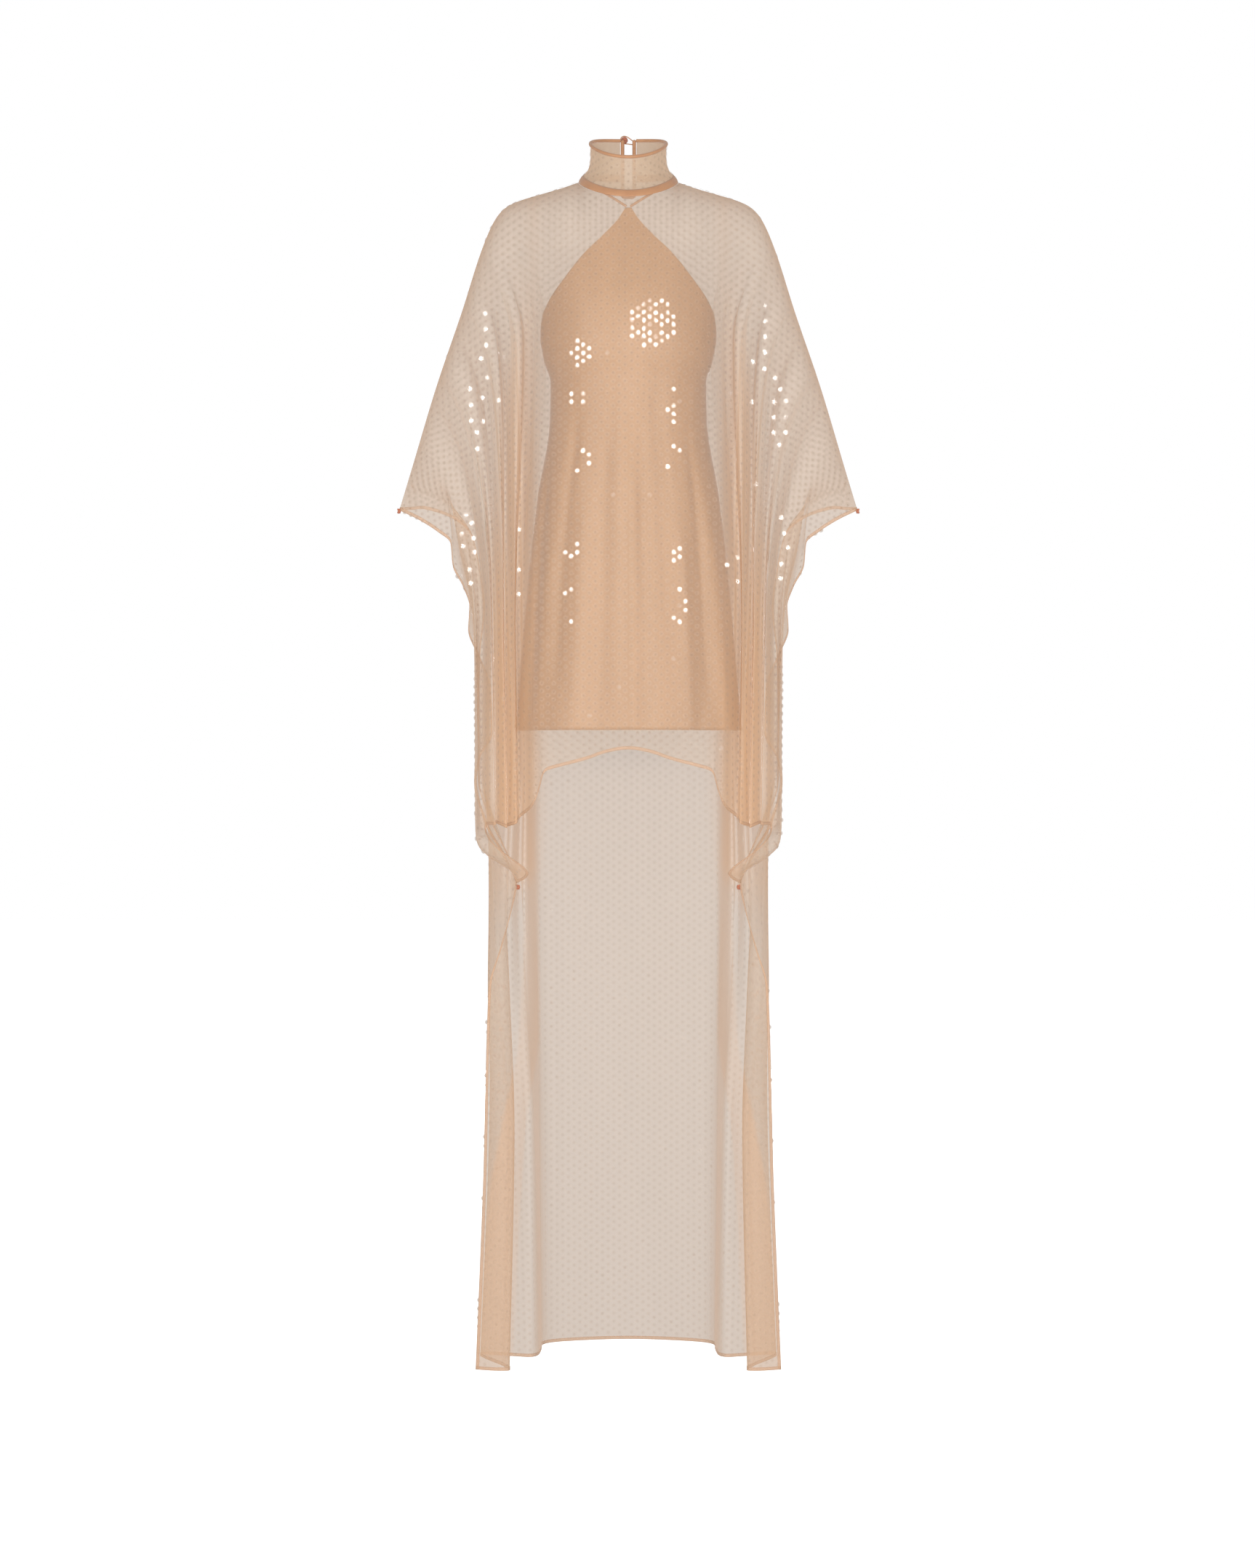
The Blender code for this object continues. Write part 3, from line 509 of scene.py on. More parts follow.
BACK_HEM = table(
    "flat x y",
    (0, 0, 0.216), (0.06, 0.062, 0.202), (0.13, 0.123, 0.17), (0.195, 0.121, 0.098),
    (0.262, 0.126, 0.008), (0.31, 0.16, 0.026), (0.37, 0.208, 0.048), (0.41, 0.2, 0.006),
    (0.525, 0.152, -0.122), (0.57, 0.176, -0.128), (0.62, 0.206, -0.112),
)
BACK_SECTIONS = (BACK_YOKE, BACK_CHEST, BACK_HIP, BACK_LOW_HIP, BACK_TACK, BACK_THIGH, BACK_KNEE, BACK_HEM)

# Side edge of the back panel: nearly level from the wrist, down to the lower tack, then the train
BACK_EDGE = table(
    "drop x y z",
    (0, 0.314, -0.02, -0.453), (0.012, 0.299, -0.01, -0.452), (0.024, 0.284, -0.002, -0.45),
    (0.038, 0.264, 0.003, -0.454), (0.054, 0.238, 0.003, -0.465), (0.078, 0.216, -0.001, -0.486),
    (0.11, 0.205, -0.003, -0.53), (0.16, 0.198, -0.003, -0.59), (0.205, 0.204, -0.004, -0.65),
    (0.29, 0.206, -0.005, -0.74), (0.372, 0.205, -0.008, -0.824), (0.432, 0.185, -0.026, -0.884),
    (0.475, 0.164, -0.04, -0.926), (0.512, 0.152, -0.051, -0.963), (0.545, 0.1588, -0.0565, -0.998),
    (0.6, 0.175, -0.06, -1.053), (0.652, 0.19, -0.064, -1.105), (0.76, 0.1935, -0.076, -1.213),
    (0.9, 0.1962, -0.092, -1.353), (1.02, 0.2003, -0.102, -1.473), (1.165, 0.206, -0.112, -1.618),
)

# Small creases of the cloth beside its main folds. Side of the garment (-1 front, 1 back), hand (-1 right,
# 1 left, 0 both), flat distance from the middle, drop from the arm line where it starts and ends, width,
# depth along the cloth's outer side and lean, how far it wanders out on its way down
CREASES = table(
    "side hand flat start end width depth lean",
    (-1, -1, 0.03, 0.3, 0.72, 0.006, -0.0016, 0.01), (-1, 1, 0.034, 0.24, 0.6, 0.0055, -0.0014, 0.006),
    (-1, -1, 0.058, 0.18, 0.56, 0.007, 0.0018, 0.012), (-1, 1, 0.062, 0.26, 0.76, 0.0065, 0.0016, 0.008),
    (-1, -1, 0.086, 0.25, 0.76, 0.005, -0.0018, 0.01), (-1, 1, 0.083, 0.33, 0.78, 0.006, -0.002, 0.012),
    (-1, -1, 0.108, 0.34, 0.8, 0.0045, 0.002, 0.006), (-1, 1, 0.112, 0.28, 0.74, 0.005, 0.0018, 0.004),
    (-1, 0, 0.128, 0.06, 0.3, 0.006, 0.0018, 0.004), (-1, -1, 0.165, 0.12, 0.62, 0.004, -0.0015, 0.006),
    (-1, 1, 0.17, 0.1, 0.56, 0.0045, -0.0016, 0.004), (-1, 0, 0.206, 0.08, 0.64, 0.0045, 0.0015, 0.004),
    (-1, 0, 0.25, 0.06, 0.56, 0.005, -0.0015, -0.004), (-1, -1, 0.294, 0.05, 0.5, 0.0045, 0.0014, 0.004),
    (-1, 1, 0.29, 0.08, 0.54, 0.005, 0.0016, 0.004), (-1, 0, 0.33, 0.05, 0.42, 0.0045, -0.0014, 0.006),
    (-1, 0, 0.372, 0.04, 0.46, 0.005, 0.0016, -0.004), (-1, -1, 0.418, 0.04, 0.4, 0.005, -0.0016, 0.004),
    (-1, 1, 0.424, 0.06, 0.36, 0.005, -0.0014, 0.004), (-1, 0, 0.47, 0.04, 0.34, 0.0055, 0.0015, -0.004),
    (-1, 0, 0.52, 0.04, 0.3, 0.0055, -0.0014, 0.004), (1, -1, 0.026, 0.3, 1.1, 0.008, -0.0014, 0.01),
    (1, 1, 0.033, 0.42, 1.3, 0.0085, -0.0016, 0.014), (1, 0, 0.072, 0.2, 0.9, 0.008, 0.0018, 0.012),
    (1, -1, 0.098, 0.5, 1.5, 0.007, -0.002, 0.01), (1, 1, 0.094, 0.62, 1.56, 0.008, -0.0018, 0.008),
    (1, 0, 0.165, 0.1, 0.7, 0.005, -0.0015, 0.004), (1, 0, 0.222, 0.08, 1, 0.005, 0.0015, 0.004),
    (1, -1, 0.262, 0.06, 0.6, 0.005, 0.0014, -0.004), (1, 1, 0.27, 0.06, 0.64, 0.005, 0.0014, -0.004),
    (1, 0, 0.312, 0.06, 0.9, 0.005, -0.0014, 0.004), (1, 0, 0.358, 0.05, 0.5, 0.005, 0.0014, 0.004),
    (1, 0, 0.404, 0.04, 0.4, 0.005, -0.0014, 0.004), (1, 0, 0.456, 0.04, 0.38, 0.005, 0.0015, 0.004),
    (1, -1, 0.486, 0.7, 1.56, 0.007, 0.0018, 0.006), (1, 1, 0.48, 0.76, 1.6, 0.007, 0.0018, 0.008),
    (1, 0, 0.51, 0.04, 0.32, 0.0055, -0.0015, 0.004),
)
CREASE_FADE = 0.3  # share of a crease's length over which it fades in and out
CREASE_TOP = (0.004, 0.05)  # drops between which creases begin
CREASE_SIDE = (0.57, 0.60)  # flat distances between which they end
HALF_COLUMNS = 140  # a column of the net every 4.4 mm
FRONT_NET_ROWS = 170
BACK_NET_ROWS = 230
NO_LENGTH = 1e-12  # the least length that a direction is divided by

WAVE_METRE = 0.314159  # a wave texture at this scale has one band a metre
THREAD_PITCH = 0.0012
THREAD_TURNS = (0, 60, 120)
THREAD_GAPS = (0.07, -0.05)  # how much more passes between the threads, and at them
EDGE_ON_PATH = 1.33  # a ray square on counts 1 / this, and edge on 1 / (this - 1)
RIPPLE_COVER = 0.75  # how much denser cloth that lies in deep folds is, for its small ripples
DEEP_LAYERS = (2.0, 5.0)  # how many layers hang before one whose painted deep-fold colour begins and is full
# The tulle's own colour seen square on, then its colours aslant and deep among folds, both painted light
# that is lighter and warmer for light passing and bouncing between layers; then cover and shade
NET_FINISH_WITH_PAINTED_LIGHT = ((0.485, 0.368, 0.274), (0.63, 0.40, 0.25), (0.655, 0.362, 0.182), 0.385, 0.07)

GATHER_REACH = 0.05  # metres of cloth to either side over which folds are felt
GATHER_RANGE = (0.22, 0.78)  # how far it is drawn together where gathering begins and is full
GATHER_DEPTH = 0.95
GATHER_OUTER = 0.55  # how much less the folds furthest from the body are gathered
GATHER_OUTER_FLATS = (0.34, 0.42)
GATHER_ENDS = (0.93, 1.02)  # down from the neck, at the lower tacks
# The one long fold from each armhole down either side of the train, its place beside the middle and the
# depth of its painted fold colour and denser cover
LONG_FOLD = table(
    "z x half fade depth",
    (-0.14, 0.13, 0.006, 0.01, 0.1), (-0.22, 0.142, 0.012, 0.018, 0.3), (-0.32, 0.15, 0.017, 0.024, 0.46),
    (-0.45, 0.15, 0.02, 0.026, 0.55), (-0.8, 0.146, 0.022, 0.026, 0.58),
    (-0.92, 0.142, 0.018, 0.014, 0.5), (-1, 0.136, 0.009, 0.003, 0.35),
    (-1.17, 0.138, 0.013, 0.003, 0.35), (-1.296, 0.157, 0.016, 0.003, 0.35),
    (-1.38, 0.168, 0.021, 0.003, 0.35), (-1.618, 0.185, 0.025, 0.003, 0.35),
)


def rounded(knots, values, at, mirrored=1):
    """Curve that rounds each corner of the folds and passes the middle of every leg."""
    first = mirrored * values[1]
    middles = np.concatenate([[(first + values[0]) / 2], (values[1:] + values[:-1]) / 2])
    places = np.concatenate([[-knots[1] / 2], (knots[1:] + knots[:-1]) / 2])
    k = np.clip(np.searchsorted(places, at) - 1, 0, len(places) - 2)
    t = np.clip((at - places[k]) / (places[k + 1] - places[k]), 0, 1)
    bend = (1 - t) ** 2 * middles[k] + 2 * t * (1 - t) * values[k] + t * t * middles[k + 1]
    last = np.clip((at - places[-1]) / (knots[-1] - places[-1]), 0, 1)
    tail = middles[-1] + last * (values[-1] - middles[-1])
    return np.where(at > places[-1], tail, bend)


def neck_height(angle):
    """Height of the neck ring; the angle runs from 0 at the front to pi at the back."""
    return NECK_SIDE_HEIGHT - NECK_TILT * np.cos(angle) - NECK_DIP * np.cos(angle) ** 2


def top_line(flat, side):
    """Where each column of a panel starts: under the neck band, then along the arm line."""
    angle = np.arcsin(np.clip(flat / NECK_HALF_WIDTH, 0, 1))
    place = angle if side < 0 else np.pi - angle
    on_arm = flat > NECK_HALF_WIDTH
    grow = NECK_SPREAD + 2 * CLOTH / NECK_HALF_WIDTH
    under_band = neck_height(place) - BAND_WIDTH / 2 - GAP
    x = np.where(on_arm, through(ARM_LINE["flat"], ARM_LINE["x"], flat), flat * grow)
    y = np.where(on_arm, through(ARM_LINE["flat"], ARM_LINE["y"], flat), 0)
    y = y + side * NECK_HALF_DEPTH * grow * np.cos(angle)
    z = np.where(on_arm, through(ARM_LINE["flat"], ARM_LINE["z"], flat), under_band)
    return x, y, z


def hanging(sections, heights, flat, z):
    """Plan of the hanging cloth at each height z, between the sections at the given heights."""
    x = np.stack([rounded(s["flat"], s["x"], flat, -1) for s in sections])
    y = np.stack([rounded(s["flat"], s["y"], flat) for s in sections])
    out_x, out_y = np.empty_like(z), np.empty_like(z)
    for column in range(len(flat)):
        knots = -heights[:, column]
        out_x[:, column] = through(knots, x[:, column], -z[:, column])
        out_y[:, column] = through(knots, y[:, column], -z[:, column])
    return out_x, out_y


def panel(side, flat, share):
    """Points of half a panel, rows down and columns across; side is -1 in front and 1 behind."""
    share = np.asarray(share, float)
    top_x, top_y, top_z = top_line(flat, side)
    if side < 0:
        sections = (FRONT_YOKE, FRONT_CHEST, FRONT_HIP, FRONT_HIP)
        heights = FRONT_HEIGHTS
        hem = rounded(FRONT_HEM["flat"], FRONT_HEM["z"], flat)
    else:
        sections = BACK_SECTIONS
        heights = BACK_HEIGHTS[:-1]
        hem = np.full_like(flat, BACK_HEIGHTS[-1])
    z = top_z + (hem - top_z) * share[:, None]
    levels = np.stack([np.full_like(flat, height) for height in heights] + [hem])
    x, y = hanging(sections, levels, flat, z)
    if side < 0:
        late = np.interp(flat, FRONT_HEM["flat"], FRONT_HEM["late"])
        down = np.clip((heights[-1] - z) / (heights[-1] - hem), 0, 1) ** late
        x = x + down * (rounded(FRONT_HEM["flat"], FRONT_HEM["x"], flat, -1) - x)
        y = y + down * (rounded(FRONT_HEM["flat"], FRONT_HEM["y"], flat) - y)
    drop = top_z - z
    free_x = hanging(sections, levels, flat, top_z[None, :])[0]
    x = x + (top_x - free_x[0]) * np.exp(-drop / ARM_REACH)
    roundness = 1 - ARM_SHARPER * smooth_step(flat, *ARM_SHARPENS)
    leave = (1 - np.exp(-drop / ARM_ROUND / roundness)) ** roundness
    y = top_y + (y - top_y) * leave
    points = np.stack([x, y, z], axis=-1)
    edge = FRONT_EDGE if side < 0 else BACK_EDGE
    line = np.stack([through(edge["drop"], edge[name], drop[:, -1]) for name in "xyz"], axis=-1)
    line[-1] = [edge[name][-1] for name in "xyz"]
    inner = EDGE_PULL_TOP + (EDGE_PULL_LOW - EDGE_PULL_TOP) * smooth_step(drop[:, -1], 0, EDGE_PULL_DROP)
    pull = smooth_step(flat[None, :], inner[:, None], HALF_CUT)[:, :, None]
    points = points + pull * (line - points[:, -1])[:, None, :]
    points[0] = np.stack([top_x, top_y, top_z], axis=-1)
    points[0, :, 1] += side * (CLOTH / 2 + GAP) * smooth_step(flat, *LAPPED)
    return points


def unit(vectors):
    """The same directions, one long."""
    return vectors / np.maximum(np.linalg.norm(vectors, axis=-1, keepdims=True), NO_LENGTH)


def outer_normals(net, outward):
    """Directions square to the cloth, towards its outer side."""
    return unit(np.cross(np.gradient(net, axis=0), np.gradient(net, axis=1)) * outward)


def draped(side, hand, flats, shares):
    """Half a panel on one hand with its small creases, and the drop of cloth at each of its points."""
    net = panel(side, flats, shares) * np.array([hand, 1, 1])
    drop = lengths_down(net)
    rise = np.zeros(drop.shape)
    for on_side, on_hand, flat, start, end, width, depth, lean in zip(*CREASES.values()):
        if on_side != side or on_hand == -hand:
            continue
        middle = flat + lean * np.clip((drop - start) / (end - start), 0, 1)
        along = smooth_window(drop, start, end, CREASE_FADE * (end - start))
        rise += depth * along * np.exp(-(((flats[None, :] - middle) / width) ** 2))
    rise *= smooth_step(drop, *CREASE_TOP)
    rise *= 1 - smooth_step(flats, *CREASE_SIDE)[None, :]
    return net + outer_normals(net, -side * hand) * rise[:, :, None], drop


def whole_net(side, rows):
    """Both halves of a panel as one net with its flat places and drops."""
    shares = np.linspace(0, 1, rows)
    right, right_drop = draped(side, -1, half_flats, shares)
    left, left_drop = draped(side, 1, half_flats, shares)
    net = np.concatenate([right[:, :0:-1], left], axis=1)
    drop = np.concatenate([right_drop[:, :0:-1], left_drop], axis=1)
    return net, np.concatenate([-half_flats[:0:-1], half_flats]), drop


def gathering(net, across):
    """How deep among folds each point lies, from 0 where the cloth hangs flat: beside the body by how far
    the cloth is drawn together there, and in the long fold by its own depth."""
    reach = np.stack([np.clip(across + way * GATHER_REACH, across[0], across[-1]) for way in (-1, 1)])
    chord = np.zeros(net.shape[:2])
    for row, line in enumerate(net):
        ends = np.stack([np.interp(reach, across, line[:, i]) for i in (0, 2)], axis=-1)
        chord[row] = np.linalg.norm(ends[1] - ends[0], axis=1) / (reach[1] - reach[0])
    inner = 1 - GATHER_OUTER * smooth_step(np.abs(across), *GATHER_OUTER_FLATS)[None, :]
    beside_body = GATHER_DEPTH * inner * smooth_step(1 - chord, *GATHER_RANGE)
    down = -net[:, :, 2]
    fold, half, fade, depth = (through(-LONG_FOLD["z"], LONG_FOLD[name], down)
                               for name in ("x", "half", "fade", "depth"))
    in_fold = depth * smooth_window(np.abs(net[:, :, 0]), fold - half, fold + half, fade)
    return np.maximum(beside_body * (1 - smooth_step(down, *GATHER_ENDS)), in_fold)


def thread_group():
    """Threads of the tulle: three directions of fine lines laid over each other, from the cloth's UV."""
    group = bpy.data.node_groups.new("tulle_threads", "ShaderNodeTree")
    pitch = group.interface.new_socket("Pitch", in_out="INPUT", socket_type="NodeSocketFloat")
    pitch.default_value = THREAD_PITCH
    group.interface.new_socket("Threads", in_out="OUTPUT", socket_type="NodeSocketFloat")
    start = group.nodes.new("NodeGroupInput")
    end = group.nodes.new("NodeGroupOutput")
    scale = maths(group, "DIVIDE", WAVE_METRE, start.outputs["Pitch"])
    lines = [bands(group, turned_by(group, cloth_uv(group), turn), scale) for turn in THREAD_TURNS]
    highest = lines[0]
    for line in lines[1:]:
        highest = maths(group, "MAXIMUM", highest, line)
    group.links.new(highest, end.inputs["Threads"])
    return group


TULLE_THREADS = thread_group()


def make_sheer(tree, shader, cover, shade):
    """Let the camera see the given cover of the cloth, and let light pass all of it but the shade."""
    seen = finish_step(tree, "LightPath").outputs["Is Camera Ray"]
    feed(tree, shader, {"Alpha": blend(tree, seen, shade, cover, "FLOAT")})


def tulle(name, square_on, aslant, painted_fold_light, cover, shade):
    """Sheer tulle: its own colour seen square on; colours painted where it is seen aslant and deep
    among folds, painted light for what passes and bounces between its layers; the cover of one layer
    seen square on, and how much of the light that falls on it goes no further. Seen aslant, and in the
    small ripples of gathered cloth, a ray meets more threads."""
    made, tree, shader = new_finish(name)
    gaps = finish_step(tree, "MapRange", {
        "Value": finish_step(tree, "Group", node_tree=TULLE_THREADS).outputs["Threads"],
        "To Min": 1 - cover + THREAD_GAPS[0],
        "To Max": 1 - cover + THREAD_GAPS[1],
    }).outputs["Result"]
    facing = finish_step(tree, "LayerWeight", {"Blend": 0.5}).outputs["Facing"]
    folded = finish_step(tree, "Attribute", attribute_name="gathered").outputs["Fac"]
    rippled = maths(tree, "MULTIPLY_ADD", folded, RIPPLE_COVER, 1.0)
    path = maths(tree, "DIVIDE", rippled, maths(tree, "SUBTRACT", EDGE_ON_PATH, facing))
    covered = maths(tree, "SUBTRACT", 1.0, maths(tree, "POWER", gaps, path))
    deep = finish_step(tree, "MapRange", {
        "Value": finish_step(tree, "LightPath").outputs["Transparent Depth"],
        "From Min": DEEP_LAYERS[0],
        "From Max": DEEP_LAYERS[1],
    }, interpolation_type="SMOOTHSTEP").outputs["Result"]
    # Painted light: lighter, warmer colour where the tulle is seen aslant and deep among folds
    outer = blend(tree, maths(tree, "POWER", facing, 2.0), square_on, aslant)
    colour = blend(tree, maths(tree, "MAXIMUM", folded, deep), outer, painted_fold_light)
    feed(tree, shader, {"Base Color": colour, "Roughness": 0.7, "Specular IOR Level": 0.2})
    make_sheer(tree, shader, covered, shade)
    return made


half_flats = np.sort(np.append(np.linspace(0, HALF_CUT, HALF_COLUMNS), SLIT_CLOTH))
panel_nets, panel_cuts, sewn_on = {}, {}, {-1: [], 1: []}
for word, side, rows in (("front", -1, FRONT_NET_ROWS), ("back", 1, BACK_NET_ROWS)):
    net, across, drop = whole_net(side, rows)
    keep = None
    if side > 0:
        beside = np.abs((across[1:] + across[:-1]) / 2) < SLIT_CLOTH
        above = net[1:, :-1, 2] > SLIT_BOTTOM
        keep = ~(beside[None, :] & above)
    piece = sheet_of(word + "_tulle", net, across[None, :], -drop, tulle(word + "_tulle_net", *NET_FINISH_WITH_PAINTED_LIGHT),
                     outward=-side, keep=keep, gathered=gathering(net, across))
    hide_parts(word + "_panel")
    cut_area = float(np.sum((drop[-1, 1:] + drop[-1, :-1]) / 2 * np.diff(across)))
    panel_nets[side] = (net, across, drop)
    panel_cuts[side] = (piece, (2 * HALF_CUT, float(drop[-1].max())), cut_area)

# Hems and edges
# Every raw edge of the two panels is turned twice into a hem under five millimetres wide and sewn down
# with two lines of fine thread: the curved front hem, the straight back hem and all four side edges.
HEM_WALL = 0.0011
HEM_STEPS = np.array((0.0, 0.0012, 0.0023, 0.0034, 0.0046))
HEM_CLOTH = (0.57, 0.35, 0.215)
HEM_DARKER = 0.88
HEM_THREAD = (0.47, 0.245, 0.125)
HEM_COVER = 0.48
HEM_SHADE = 0.3  # share of the cover that light feels
HEM_SLOPE_ROWS = 4  # the last rows of a panel's net, which give the slope of its lower hem
HEM_MOTTLE = 90
STITCH_LINES = (0.0010, 0.0036)
STITCH_HALF_WIDTH = 0.00035
STITCH_LENGTH = 0.0022
STITCH_RELIEF = (0.5, 0.0004)


def along_line(points):
    """Length of a line up to each of its points."""
    step = np.linalg.norm(np.diff(points, axis=0), axis=1)
    return np.concatenate([[0], np.cumsum(step)])


def hem(name, edge, towards, outward):
    """A turned hem along an edge; towards is a line of the panel's net inside it."""
    net = edge[None] + HEM_STEPS[:, None, None] * unit(towards - edge)[None]
    piece = sheet_of(name, net, along_line(edge)[None, :], HEM_STEPS[:, None], hem_tulle, outward)
    give_wall(piece, HEM_WALL)
    return piece


hem_tulle, tree, shader = new_finish("hem_tulle")
inward = finish_step(tree, "SeparateXYZ", {"Vector": cloth_uv(tree)}).outputs["Y"]
lower, upper = (maths(tree, "COMPARE", inward, line, STITCH_HALF_WIDTH) for line in STITCH_LINES)
run = bands(tree, cloth_uv(tree), WAVE_METRE / STITCH_LENGTH)
stitch = maths(tree, "MULTIPLY", maths(tree, "MAXIMUM", lower, upper), run)
darker = tuple(HEM_DARKER * c for c in HEM_CLOTH)
cloth = blend(tree, noise(tree, cloth_uv(tree), HEM_MOTTLE), darker, HEM_CLOTH)
feed(tree, shader, {
    "Base Color": blend(tree, stitch, cloth, HEM_THREAD),
    "Normal": relief(tree, stitch, *STITCH_RELIEF),
    "Roughness": 0.65,
})
make_sheer(tree, shader, HEM_COVER, HEM_SHADE * HEM_COVER)

for side, word in ((-1, "front"), (1, "back")):
    net = panel_nets[side][0]
    sewn_on[side].append(hem(word + "_hem", net[-1], net[-HEM_SLOPE_ROWS], side))
    sewn_on[side].append(hem(word + "_edge_left", net[:, -1], net[:, -2], side))
    sewn_on[side].append(hem(word + "_edge_right", net[:, 0], net[:, 1], -side))

# Collar
# A high funnel collar of the same sequinned tulle, doubled, wide at the seam and straight above it, its
# two ends open at the middle of the back.
RIM_HEIGHT = 0.0488
RIM_TILT = 0.0185
RIM_DIP = 0.0033
COLLAR = table(
    "up wide deep",
    (0, 0.0655, 0.06), (0.1, 0.0615, 0.0572), (0.22, 0.0566, 0.054), (0.38, 0.0533, 0.0518),
    (0.62, 0.052, 0.0512), (1, 0.0522, 0.052),
)
COLLAR_COLUMNS = 181
COLLAR_ROWS = 40
BAND_UP = 0.095  # share of the collar's height that the band covers
COLLAR_LAP = 0.02  # share by which the collar reaches under the band
RIM_UP = 0.985
# The collar's own colour seen square on, then much lighter colours painted where it is seen aslant and deep
# among layers, as painted light; then cover and shade
COLLAR_FINISH_WITH_PAINTED_LIGHT = ((0.46, 0.335, 0.235), (0.72, 0.50, 0.35), (0.60, 0.41, 0.28), 0.86, 0.20)


def ring_point(angle, up):
    """Point on the collar; the angle runs from 0 at the front, up from 0 at the seam to 1 at the rim."""
    wide = through(COLLAR["up"], COLLAR["wide"], up)
    deep = through(COLLAR["up"], COLLAR["deep"], up)
    low = neck_height(angle)
    rim = RIM_HEIGHT - RIM_TILT * np.cos(angle) - RIM_DIP * np.cos(2 * angle)
    return np.stack([wide * np.sin(angle), -deep * np.cos(angle), low + (rim - low) * up], axis=-1)


def ring_end(up, beside):
    """Angle behind the neck at which the collar is this far beside the middle."""
    return np.pi - np.arcsin(beside / through(COLLAR["up"], COLLAR["wide"], up))


def ring_net(ups):
    """Net round the neck that ends at the slit."""
    up = np.asarray(ups, float)[:, None]
    angle = ring_end(up, SLIT_CLOTH) * np.linspace(-1, 1, COLLAR_COLUMNS)
    return ring_point(angle, up + 0 * angle)


collar_tulle = tulle("collar_tulle", *COLLAR_FINISH_WITH_PAINTED_LIGHT)
collar_net = ring_net(np.linspace(RIM_UP, BAND_UP - COLLAR_LAP, COLLAR_ROWS))
collar_run = along_line(collar_net[COLLAR_ROWS // 2])
collar_run -= collar_run[-1] / 2
collar_drop = lengths_down(collar_net)
collar = sheet_of("collar_tulle_piece", collar_net, collar_run[None, :], -collar_drop, collar_tulle, 1)
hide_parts("collar")

# Neck seam band and bindings
# The neck seam is covered by a folded band of plain nude tulle. A rolled binding of the same cloth edges
# the collar's rim, and another runs down one side of the slit, round its end and up the other side.
BAND_WALL = 0.0016
BAND_DROP = 0.0044  # how far the band reaches below the seam
BAND_BULGE = 0.0011
BAND_FULLNESS = 0.6  # the lower, the fuller the band's turned edges
BAND_ROWS = 9
BAND_ENDS = 3  # angle behind the neck, in radians, to which the bulge turns with the band
RIM_RADIUS = 0.0023
DOME = 0.6  # height of a cord's domed end over its radius
DOME_UV = (0, 0.001, 0.002)  # metres around at the corners of each of the dome's faces
STEEP = 0.9  # a cord that starts steeper than this has its UV seam turned to the back
BINDING_SIDES = 12
SLIT_UPS = (1.0, 0.8, 0.6, 0.4, 0.22)
SLIT_CLEAR = 0.006  # the slit's binding follows the panel down to this far above its end
SLIT_POINTS = 160
SLIT_ROW_STEP = 4  # the binding goes by every fourth row of the panel's net
RIB_SLANT = 38
RIB_WOBBLE = 0.6
RIB_COLOUR = 0.35  # how much the ribs change the colour
RIB_DEPTH = 0.0003
RIB_MOTTLE = 60
BINDING_LIGHT, BINDING_DARK = (0.46, 0.232, 0.112), (0.34, 0.152, 0.070)
BINDING_RIBS = (0.0009, 0.35)  # pitch and how strongly they show


def ribbed_cloth(name, light, dark, pitch, strength):
    """Folded or rolled cloth with fine slanting ribs, a little uneven in colour."""
    made, tree, shader = new_finish(name)
    slanted = turned_by(tree, cloth_uv(tree), RIB_SLANT)
    ribs = bands(tree, slanted, WAVE_METRE / pitch, RIB_WOBBLE)
    amount = maths(tree, "MULTIPLY_ADD", ribs, RIB_COLOUR, noise(tree, cloth_uv(tree), RIB_MOTTLE))
    feed(tree, shader, {
        "Base Color": blend(tree, amount, dark, light),
        "Normal": relief(tree, ribs, strength, RIB_DEPTH),
        "Roughness": 0.6,
        "Sheen Weight": 0.2,
    })
    return made


def tube_along(name, path, radius, finish, sides):
    """A round cord along a path of points, with domed ends; its UV runs along and around in metres."""
    path = np.asarray(path, float)
    count = len(path)
    ahead = unit(np.gradient(path, axis=0))
    up = np.array([0.0, 0.0, 1.0]) if abs(ahead[0][2]) < STEEP else np.array([0.0, 1.0, 0.0])
    frames = []
    for direction in ahead:
        up = unit(up - direction * np.dot(up, direction))
        frames.append((up, np.cross(direction, up)))
    turns = np.linspace(0, 2 * np.pi, sides, endpoint=False)
    rings = np.stack([p + radius * (np.cos(turns)[:, None] * u + np.sin(turns)[:, None] * v)
                      for p, (u, v) in zip(path, frames)])
    run = along_line(path)
    verts = rings.reshape(-1, 3).tolist()
    faces, uvs = [], []
    for i in range(count - 1):
        for j in range(sides):
            k = (j + 1) % sides
            faces.append((i * sides + j, i * sides + k, (i + 1) * sides + k, (i + 1) * sides + j))
            low, high = (2 * np.pi * radius * edge / sides for edge in (j, j + 1))
            uvs += [(run[i], low), (run[i], high), (run[i + 1], high), (run[i + 1], low)]
    for i, way in ((0, -1), (count - 1, 1)):
        tip = len(verts)
        verts.append((path[i] + way * ahead[i] * radius * DOME).tolist())
        for j in range(sides):
            a, b = i * sides + j, i * sides + (j + 1) % sides
            faces.append((tip, b, a) if way < 0 else (tip, a, b))
            uvs += [(run[i], around) for around in DOME_UV]
    made = sewn_piece(name, verts, faces, np.array(uvs), finish)
    made.data.shade_smooth()
    return made


def curve_through(points, count):
    """Points evenly along a smooth curve through the given ones."""
    points = np.asarray(points, float)
    at = along_line(points)
    even = np.linspace(0, at[-1], count)
    return np.stack([through(at, points[:, i], even) for i in range(3)], axis=-1)


